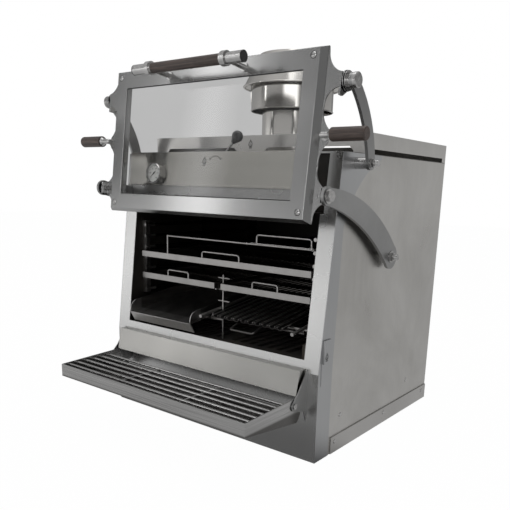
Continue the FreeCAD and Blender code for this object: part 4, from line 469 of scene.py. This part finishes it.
MATERIALS = {
    # The front's top is painted darker, as shade.
    "front": brushed_steel(
        "steel_front", "z", (0.7, 0.7, 0.695), (0.58, 0.58, 0.575), rough=(0.24, 0.3),
        shade_above=FRONT_SHADE_ABOVE,
    ),
    "back": brushed_steel("steel_back", "z", (0.5, 0.495, 0.48), (0.36, 0.355, 0.345)),
    "across": brushed_steel("steel_across", "x", (0.58, 0.57, 0.555), (0.44, 0.43, 0.415), streak=0.7),
    "door": brushed_steel(
        "steel_door", "x", (0.41, 0.41, 0.408), (0.35, 0.35, 0.348), rough=(0.17, 0.21), streak=0.6,
        fold=0.003,
    ),
    "fascia": brushed_steel(
        "steel_fascia", "x", (0.5, 0.49, 0.46), (0.4, 0.39, 0.36), rough=(0.15, 0.19), soot=0.1, streak=0.6,
    ),
    "drawer": brushed_steel(
        "steel_drawer", "x", (0.4, 0.395, 0.38), (0.3, 0.295, 0.28), rough=(0.2, 0.28), streak=0.7,
    ),
    "side_left": side_steel("steel_side_left", (0.62, 0.61, 0.59), (0.46, 0.45, 0.43), 1.0),
    "side_right": side_steel("steel_side_right", (0.62, 0.61, 0.59), (0.46, 0.45, 0.43), 4.0),
    "wrap": brushed_steel("steel_wrap", "z", (0.5, 0.505, 0.51), (0.4, 0.405, 0.41)),
    "arm": bar_steel("steel_arm", (0.36, 0.36, 0.358), (0.29, 0.29, 0.288), rough=(0.3, 0.38), scale=16.0),
    "deck": brushed_steel(
        "steel_deck", "x", (0.2, 0.195, 0.185), (0.12, 0.116, 0.11), rough=(0.3, 0.45), soot=0.2,
    ),
    "flue": brushed_steel(
        "steel_flue", "z", (0.7, 0.685, 0.66), (0.5, 0.485, 0.46), rough=(0.1, 0.18), soot=0.08,
    ),
    # The shelf pan's bottom under its rods is painted dark as shade; its apron above is bright steel.
    "shelf": two_tone_steel(
        "steel_shelf_pan", "Z", SHELF_SHADE_BELOW, (0.16, 0.155, 0.15), (0.56, 0.555, 0.55), rough=(0.22, 0.28),
        grain=(3, 3, 260),
    ),
    "bright": bar_steel("steel_bright", (0.62, 0.615, 0.61), (0.42, 0.415, 0.41), rough=(0.12, 0.26)),
    "guard": side_steel("steel_guard", (0.66, 0.65, 0.63), (0.5, 0.49, 0.47), 7.0, inner=GUARD_INNER),
    "bolt": bar_steel("steel_bolt", (0.55, 0.545, 0.54), (0.33, 0.325, 0.32), rough=(0.18, 0.32)),
    "upper_bolt": washer_stack("steel_upper_bolt", [
        (0.46, 1.0), (0.4915, 0.0), (0.4955, 1.0), (0.4978, 0.0), (0.5012, 1.0),
    ]),
    "lower_bolt": washer_stack("steel_lower_bolt", [
        (0.46, 1.0), (0.4812, 0.0), (0.4858, 1.0), (0.496, 0.0), (0.4972, 1.0),
    ]),
    "shelf_bar": bar_steel("steel_shelf_bar", (0.5, 0.495, 0.49), (0.34, 0.335, 0.33), rough=(0.14, 0.26)),
    # Grids, top shelf, ladder and racks: bright steel in front, painted darker as shade deeper in the
    # chamber.
    "grid": two_tone_steel("steel_grid", "Y", row_y(GRID_SHADE_DEPTH), (0.42, 0.41, 0.4), (0.2, 0.19, 0.18)),
    "top_grid": two_tone_steel(
        "steel_top_grid", "Y", row_y(TOP_SHELF_SHADE_DEPTH), (0.42, 0.41, 0.4), (0.2, 0.19, 0.18),
    ),
    "ladder": two_tone_steel(
        "steel_ladder", "Y", row_y(LADDER_SHADE_DEPTH), (0.42, 0.41, 0.4), (0.05, 0.046, 0.042),
    ),
    "rack": two_tone_steel("steel_rack", "Y", row_y(RACK_SHADE_DEPTH), (0.5, 0.49, 0.48), (0.05, 0.046, 0.042)),
    # The grooved grill: painted highlight on its trough lips, painted shade in their beds.
    "groove": trough_steel(
        "steel_groove", row_y(GROOVE_FRONT), GROOVE_LIP, GROOVE_SLOPE,
        lips=(0.75, 0.735, 0.72), bed=(0.16, 0.155, 0.15),
    ),
    # The plancha: bright at its front lip, painted darker as shade deeper in the chamber.
    "plate": two_tone_steel(
        "steel_plate", "Y", row_y(PLATE_SHADE_DEPTH), (0.6, 0.59, 0.58), (0.38, 0.37, 0.36), grain=(90, 4, 90),
    ),
    "soot": sooty_steel("steel_sooty"),
    "cast": cast_iron("cast_iron_rough"),
    "brick": firebrick("firebrick_sooty"),
    "wool": mineral_wool("mineral_wool"),
    "rope": rope_seal("rope_seal"),
    "wood": dark_wood("wood_dark"),
    "knob": satin_black("phenolic_knob", (0.03, 0.03, 0.031), (0.3, 0.42)),
    "cap": satin_black("end_cap_black", (0.012, 0.012, 0.012), (0.4, 0.55)),
    "glass": clear_glass("door_glass_clear", (0.9, 0.9, 0.9)),
    "gauge_glass": clear_glass("gauge_glass_clear", (0.95, 0.96, 0.96)),
    "dial": dial_face("dial_white"),
    "ink": ink("ink_black", (0.012, 0.012, 0.012)),
}

FINISH = {
    "front": ["front_frame"],
    "back": ["floor_panel", "back_panel"],
    "across": ["base_skirts", "guard_front"],
    "guard": ["guard_rail"],
    "drawer": ["ash_drawer"],
    "door": ["door_frame", "door_rear_plate", "door_inner_frame"],
    "fascia": ["fascia_panel"],
    "side_left": ["side_panel_left"],
    "side_right": ["side_panel_right"],
    "wrap": ["corner_wrap_left", "corner_wrap_right", "air_slide"],
    "arm": ["lower_arm_left", "lower_arm_right", "upper_arm_left", "upper_arm_right", "shelf_cheeks"],
    "deck": ["deck_panel"],
    "flue": ["flue_pipe", "flue_sleeve", "flue_cap", "cap_straps"],
    "shelf": ["shelf_frame"],
    "bright": [
        "thermometer_case", "door_screws", "handle_tube", "handle_posts", "grip_necks", "panel_screws",
    ],
    "bolt": ["arm_hubs", "damper_shaft"],
    "upper_bolt": ["upper_arm_bolts"],
    "lower_bolt": ["lower_arm_bolts"],
    "shelf_bar": ["shelf_rods"],
    "grid": ["upper_grid", "mid_grid_left", "mid_grid_right"],
    "top_grid": ["top_shelf"],
    "groove": ["grooved_grill"],
    "plate": ["plancha"],
    "soot": ["cavity_liner", "drawer_runners"],
    "ladder": ["centre_ladder"],
    "rack": ["side_racks"],
    "cast": ["fire_grate"],
    "brick": ["firebrick_lining"],
    "wool": ["insulation_slabs"],
    "rope": ["door_gasket"],
    "wood": ["handle_grip", "side_grips"],
    "knob": ["damper_knob"],
    "cap": ["handle_end_caps"],
    "glass": ["door_glass"],
    "gauge_glass": ["thermometer_glass"],
    "dial": ["thermometer_dial"],
    "ink": ["thermometer_needle"],
}

for finish, names in FINISH.items():
    for name in names:
        piece = nodes[name]
        piece.data.materials.clear()
        piece.data.materials.append(MATERIALS[finish])


# Small marks and threads that ride on the casing, the shutter and the door

def piece_from(name, work, material, body):
    """A piece made of a bmesh, riding on a body."""
    mesh = bpy.data.meshes.new(name)
    work.to_mesh(mesh)
    work.free()
    item = bpy.data.objects.new(name, mesh)
    bpy.context.scene.collection.objects.link(item)
    mesh.materials.append(material)
    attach(item, body)


def ribbon(points, width, closed=False):
    """Corner points of a flat band along a line of (across, up) points."""
    count = len(points)
    rails = []
    for index, point in enumerate(points):
        before = points[index - 1] if index or closed else points[index]
        after = points[(index + 1) % count] if index + 1 < count or closed else points[index]
        run = Vector((after[0] - before[0], after[1] - before[1]))
        side = Vector((-run.y, run.x)).normalized() * width / 2
        rails.append((Vector(point) + side, Vector(point) - side))
    return rails


def printed(name, bands, frame_at, body, material):
    """Printed lines: flat bands of (points, width, closed) laid on a plane."""
    work = bmesh.new()
    for points, width, closed in bands:
        rails = ribbon(points, width, closed)
        corners = [[work.verts.new(frame_at @ Vector((v.x, v.y, 0))) for v in pair] for pair in rails]
        stops = len(corners) if closed else len(corners) - 1
        for index in range(stops):
            a = corners[index]
            b = corners[(index + 1) % len(corners)]
            work.faces.new((a[0], a[1], b[1], b[0]))
    piece_from(name, work, material, body)


def circle(radius, step):
    """Points of a circle, one for every step of degrees."""
    angles = [math.radians(turn) for turn in range(0, 360, step)]
    return [(radius * math.cos(angle), radius * math.sin(angle)) for angle in angles]


def flame(height):
    """A plain flame outline over a short base line, drawn in shares of a height."""
    outline = [
        (0.0, 0.0), (-0.3, 0.12), (-0.42, 0.4), (-0.3, 0.72), (-0.08, 0.95), (0.02, 1.3),
        (0.16, 1.0), (0.12, 0.78), (0.3, 0.86), (0.42, 0.48), (0.3, 0.12),
    ]
    inner = [(0.0, 0.1), (-0.14, 0.32), (0.02, 0.62), (0.16, 0.3)]
    base = [(-0.36, -0.2), (0.36, -0.2)]

    def sized(points):
        return [(across * height, up * height) for across, up in points]

    return [
        (sized(outline), height * 0.15, True), (sized(inner), height * 0.1, True),
        (sized(base), height * 0.17, False),
    ]


UP_SLOPE = Vector((0, math.sin(LEAN), math.cos(LEAN)))
OUT_OF_SLOPE = Vector((0, -math.cos(LEAN), math.sin(LEAN)))
ON_SLOPE = Matrix((Vector((1, 0, 0)), UP_SLOPE, OUT_OF_SLOPE)).transposed().to_4x4()


def front_plane(x, z, proud):
    """A frame on the leaning front with its second axis up the slope."""
    return Matrix.Translation((x, front_y(z) - proud, z)) @ ON_SLOPE


def door_plane(x, up, proud):
    """A frame on the open door's face, with its second axis up the door."""
    foot = Vector((x, row_y(-DOOR_FOOT_PROUD), DOOR_FOOT))
    return Matrix.Translation(foot + UP_SLOPE * up + OUT_OF_SLOPE * proud) @ ON_SLOPE


INK = MATERIALS["ink"]
FASCIA_PROUD = 0.0036
FLAME_HEIGHT = 0.019


def lever_arc():
    """An arc with an arrowhead at each end."""
    reach, rise, drop = 0.029, 0.026, 0.012
    angles = [math.radians(turn) for turn in range(-56, 57, 8)]
    sweep = [(reach * math.sin(angle), rise * math.cos(angle) - drop) for angle in angles]
    head = [(0.0265, 0.0095), (0.0255, 0.0025), (0.019, 0.0035)]
    mirrored = [(-across, up) for across, up in head]
    return [(sweep, 0.002, False), (mirrored, 0.0022, False), (head, 0.0022, False)]


printed("fascia_flame", flame(FLAME_HEIGHT), front_plane(-0.0765, 0.9225, FASCIA_PROUD), "casing", INK)
printed("lever_arc", lever_arc(), front_plane(-0.0265, 0.935, FASCIA_PROUD), "casing", INK)
guard_face = Matrix.Translation((0.009, row_y(0.2147), 0.9876)) @ Matrix.Rotation(math.radians(90), 4, "X")
printed("guard_flame", flame(FLAME_HEIGHT), guard_face, "casing", INK)
side_turn = Matrix(((0, 0, 1, 0), (1, 0, 0, 0), (0, 1, 0, 0), (0, 0, 0, 1)))
slide_face = Matrix.Translation((0.4745, row_y(0.0363), 0.337)) @ side_turn
printed("shutter_flame", flame(0.017), slide_face, "air_shutter", INK)

DIAL_START, DIAL_STEP, DIAL_MARKS = 225, 9, 31
DIAL_TOP = 500
gauge_face = front_plane(-0.309, 0.887, 0.0178)


def dial_point(index, ring):
    """A place on the dial at a mark's angle."""
    angle = math.radians(DIAL_START - DIAL_STEP * index)
    return ring * math.cos(angle), ring * math.sin(angle)


def dial_scale():
    """The dial's marks, every third one longer, and its rim."""
    bands = []
    for index in range(DIAL_MARKS):
        inner_ring, width = (0.0245, 0.0011) if index % 3 == 0 else (0.0268, 0.0006)
        bands.append(([dial_point(index, inner_ring), dial_point(index, 0.0292)], width, False))
    bands.append((circle(0.0302, 8), 0.0007, True))
    return bands


def dial_number(index):
    """A plain number inside the scale."""
    words = bpy.data.curves.new(f"dial_number_{index}", "FONT")
    words.body = str(index * DIAL_TOP // (DIAL_MARKS - 1))
    words.size = 0.0062
    words.align_x = "CENTER"
    words.align_y = "CENTER"
    words.materials.append(INK)
    label = bpy.data.objects.new(f"dial_number_{index}", words)
    label.matrix_world = gauge_face @ Matrix.Translation((*dial_point(index, 0.0196), 0))
    bpy.context.scene.collection.objects.link(label)
    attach(label, "casing")


printed("dial_scale", dial_scale(), gauge_face, "casing", INK)
for index in range(0, DIAL_MARKS, 6):
    dial_number(index)

# The door's pane and its screws, measured on the open door from its foot
PANE_HALF, PANE_LOW, PANE_HIGH = 0.3745, 0.0525, 0.4135
SCREW_HALF, SCREW_LOW, SCREW_HIGH = 0.406, 0.02, 0.451
SLOT_HALF = 0.007

edge_line = [(-PANE_HALF, PANE_LOW), (PANE_HALF, PANE_LOW), (PANE_HALF, PANE_HIGH), (-PANE_HALF, PANE_HIGH)]
# A thin black line along the pane's edges.
printed("pane_edge_black_line", [(edge_line, 0.0035, True)], door_plane(0, 0, -0.0029), "door", MATERIALS["cap"])
screw_places = [(x, up) for x in (-SCREW_HALF, SCREW_HALF) for up in (SCREW_LOW, SCREW_HIGH)]
for index, (x, up) in enumerate(screw_places):
    shadow = [(circle(0.0098, 15), 0.0014, True)]
    printed(f"screw_shadow_{index}", shadow, door_plane(x, up, 0.0003), "door", INK)
    turned = math.radians(35 + 50 * index)
    end = (SLOT_HALF * math.cos(turned), -SLOT_HALF * math.sin(turned))
    slot = [([end, (-end[0], -end[1])], 0.0016, False)]
    printed(f"screw_slot_{index}", slot, door_plane(x, up, 0.0034), "door", INK)


def thread(name, x, y, z, radius, turns, pitch):
    """Screw thread on a stud's free end, as a turned row of ridges."""
    work = bmesh.new()
    sides = 24
    crest, root = 0.0011, 0.0001
    away = 1 if x > 0 else -1
    rings = []
    for step in range(2 * turns + 1):
        ridge = radius + (crest if step % 2 else root)
        ring = []
        for index in range(sides):
            angle = 2 * math.pi * index / sides
            lead = pitch * index / sides * 0.5
            offset = Vector((
                away * (step * pitch / 2 + lead), ridge * math.cos(angle), ridge * math.sin(angle),
            ))
            ring.append(work.verts.new(Vector((x, y, z)) + offset))
        rings.append(ring)
    for low, high in zip(rings, rings[1:]):
        for index in range(sides):
            after = (index + 1) % sides
            work.faces.new((low[index], low[after], high[after], high[index]))
    piece_from(name, work, MATERIALS["bright"], "casing")


# Studs of the arms: how far out their threads start, row-frame y, height and radius
LOWER_STUD = (0.5085, row_y(0.38598), 0.63281, 0.009)
UPPER_STUD = (0.5335, row_y(0.15533), 0.92954, 0.008)
THREAD_TURNS = 5
THREAD_PITCH = 0.0022
for side, sign in (("left", -1), ("right", 1)):
    for stud, (start, *rest) in (("lower", LOWER_STUD), ("upper", UPPER_STUD)):
        thread(f"stud_thread_{stud}_{side}", sign * start, *rest, THREAD_TURNS, THREAD_PITCH)


# Studio

def toward_front_left(graph, x, y):
    """How far a place or a direction lies toward the front left."""
    return graph.math("ADD", graph.math("MULTIPLY", x, -0.6), graph.math("MULTIPLY", y, -0.8))


# The folding shelf's shade on the floor, seen in the steel only: its middle, and the distances across and
# along at which it is full and gone
SHADE_MIDDLE = 0.6
SHADE_ACROSS = (0.45, 0.75)
SHADE_ALONG = (0.2, 0.4)
SHADE_LEVEL = 0.37


def floor_material():
    """Pale floor that reads white to the camera, and is dimmer in the steel's reflections."""
    material = bpy.data.materials.new("studio_floor")
    material.use_nodes = True
    graph = Graph(material.node_tree)
    out = graph.new("ShaderNodeOutputMaterial")
    diffuse = graph.new("ShaderNodeBsdfDiffuse")
    diffuse.inputs["Color"].default_value = (0.8, 0.8, 0.8, 1)
    path = graph.new("ShaderNodeLightPath")
    across, along = graph.axes()[:2]
    forward = toward_front_left(graph, across, along)
    from_shelf = graph.math("ABSOLUTE", graph.math("ADD", along, SHADE_MIDDLE))
    under_shelf = graph.math(
        "MULTIPLY",
        graph.remap(graph.math("ABSOLUTE", across), *SHADE_ACROSS, SHADE_LEVEL, 0.0),
        graph.remap(from_shelf, *SHADE_ALONG, 1.0, 0.0),
    )
    level = graph.math("SUBTRACT", graph.remap(forward, 1.6, 4.6, 0.5, 0.75), under_shelf)
    reflected = graph.light("ShaderNodeEmission", level)
    seen = graph.math("MULTIPLY", path.outputs["Is Camera Ray"], 0.985)
    shown = graph.switch(path.outputs["Is Glossy Ray"], diffuse.outputs[0], reflected)
    white = graph.light("ShaderNodeEmission", 1.0)
    graph.link(graph.switch(seen, shown, white), out.inputs["Surface"])
    return material


def studio_floor(half):
    mesh = bpy.data.meshes.new("studio_floor")
    corners = [(-half, -half, 0), (half, -half, 0), (half, half, 0), (-half, half, 0)]
    mesh.from_pydata(corners, [], [(0, 1, 2, 3)])
    mesh.materials.append(floor_material())
    floor = bpy.data.objects.new("studio_floor", mesh)
    bpy.context.scene.collection.objects.link(floor)


# Rises of a direction (0 level, 1 straight up) with the room's level there, seen in the steel
ROOM_LEVELS = ((-0.1, 0.42), (0.0, 0.46), (0.07, 0.46), (0.12, 0.4), (0.3, 0.34), (0.6, 0.5), (1.0, 0.8))

# Lights and shades seen in the steel only. Each has its bearing in degrees (0 in front, 90 at the left),
# the degrees to each side where it is full and where it is gone, its level, and the rises of a direction
# between which it comes in and goes out.
PANES = {
    "bright_horizon_in_the_front": (44, 30, 46, 0.75, (-0.2, -0.1), (0.06, 0.11)),
    "tube_light_streak_in_the_front": (44.4, 0.4, 2.6, 3.8, (0.04, 0.12), (0.4, 0.7)),
    "shade_beside_the_tube_light": (54, 5, 7.5, -0.3, (0.11, 0.15), (0.22, 0.3)),
    "window_in_the_flue": (-31, 15, 24, 2.1, (0.02, 0.05), (0.26, 0.36)),
    "low_light_in_the_right_side": (-135, 40, 60, 0.32, (-0.2, -0.1), (0.06, 0.2)),
}


def studio_world():
    """White to the camera, grey through glass, even for diffuse light, a soft room with panes for steel."""
    world = bpy.data.worlds.new("studio")
    world.use_nodes = True
    graph = Graph(world.node_tree)
    out = graph.new("ShaderNodeOutputWorld")
    path = graph.new("ShaderNodeLightPath")
    x, y, z = graph.axes("Generated")
    lowest, highest = ROOM_LEVELS[0][0], ROOM_LEVELS[-1][0]
    stops = [((rise - lowest) / (highest - lowest), level) for rise, level in ROOM_LEVELS]
    by_height = graph.ramp(graph.remap(z, lowest, highest, 0.0, 1.0), stops, "EASE")
    by_side = graph.remap(toward_front_left(graph, x, y), -0.8, 0.9, 0.6, 1.1)
    room = graph.math("MULTIPLY", by_height, by_side)
    bearing = graph.math("ARCTAN2", graph.math("MULTIPLY", x, -1), graph.math("MULTIPLY", y, -1))
    for aim, full, gone, level, rise_in, rise_out in PANES.values():
        off = graph.math("ABSOLUTE", graph.math("SUBTRACT", bearing, math.radians(aim)))
        beside = graph.remap(off, math.radians(full), math.radians(gone), level, 0.0)
        upright = graph.math(
            "MULTIPLY", graph.remap(z, *rise_in, 0.0, 1.0), graph.remap(z, *rise_out, 1.0, 0.0),
        )
        room = graph.math("ADD", room, graph.math("MULTIPLY", beside, upright))
    diffuse = graph.light("ShaderNodeBackground", 0.6)
    glossy = graph.light("ShaderNodeBackground", room)
    through_glass = graph.light("ShaderNodeBackground", 0.54)
    camera_white = graph.light("ShaderNodeBackground", 1.0)
    light = graph.switch(path.outputs["Is Glossy Ray"], diffuse, glossy)
    light = graph.switch(path.outputs["Is Transmission Ray"], light, through_glass)
    light = graph.switch(path.outputs["Is Camera Ray"], light, camera_white)
    graph.link(light, out.inputs["Surface"])
    return world


def softbox(name, place, aim, width, height, power, mirrored=False):
    """An area light aimed at a point; the steel shows it only when mirrored."""
    lamp = bpy.data.lights.new(name, "AREA")
    lamp.shape = "RECTANGLE"
    lamp.size = width
    lamp.size_y = height
    lamp.energy = power
    item = bpy.data.objects.new(name, lamp)
    item.location = place
    item.rotation_euler = (Vector(aim) - Vector(place)).to_track_quat("-Z", "Y").to_euler()
    item.visible_glossy = mirrored
    bpy.context.scene.collection.objects.link(item)


def photo_camera(place, yaw, pitch, roll):
    """A camera with the photograph's view: angles in radians, frame shifted as the photograph is cut."""
    camera_data = bpy.data.cameras.new("camera")
    camera_data.lens = 42.83
    camera_data.sensor_width = 36.0
    camera_data.shift_x = -0.021
    camera_data.shift_y = 0.1527
    camera = bpy.data.objects.new("camera", camera_data)
    forward = Vector((-math.sin(yaw) * math.cos(pitch), math.cos(yaw) * math.cos(pitch), -math.sin(pitch)))
    right = Vector((math.cos(yaw), math.sin(yaw), 0))
    up = right.cross(forward)
    right_rolled = right * math.cos(roll) + up * math.sin(roll)
    up_rolled = up * math.cos(roll) - right * math.sin(roll)
    rotation = Matrix((right_rolled, up_rolled, -forward)).transposed().to_4x4()
    camera.matrix_world = Matrix.Translation(place) @ rotation
    bpy.context.scene.collection.objects.link(camera)
    return camera


studio_floor(14.0)
bpy.context.scene.world = studio_world()
softbox("key_left", (-3.2, -3.0, 4.2), (0, 0, 0.6), 3.0, 3.0, 50)
softbox("fill_right", (3.8, -0.6, 3.4), (0, 0, 0.6), 2.6, 2.6, 26)
softbox("top", (0.2, 0.4, 4.4), (0, 0, 0.5), 3.4, 3.4, 45, True)
bpy.context.scene.camera = photo_camera((1.413, -1.9484, 0.8543), yaw=0.648, pitch=0.237, roll=0.029)
bpy.context.scene.view_settings.view_transform = "Standard"
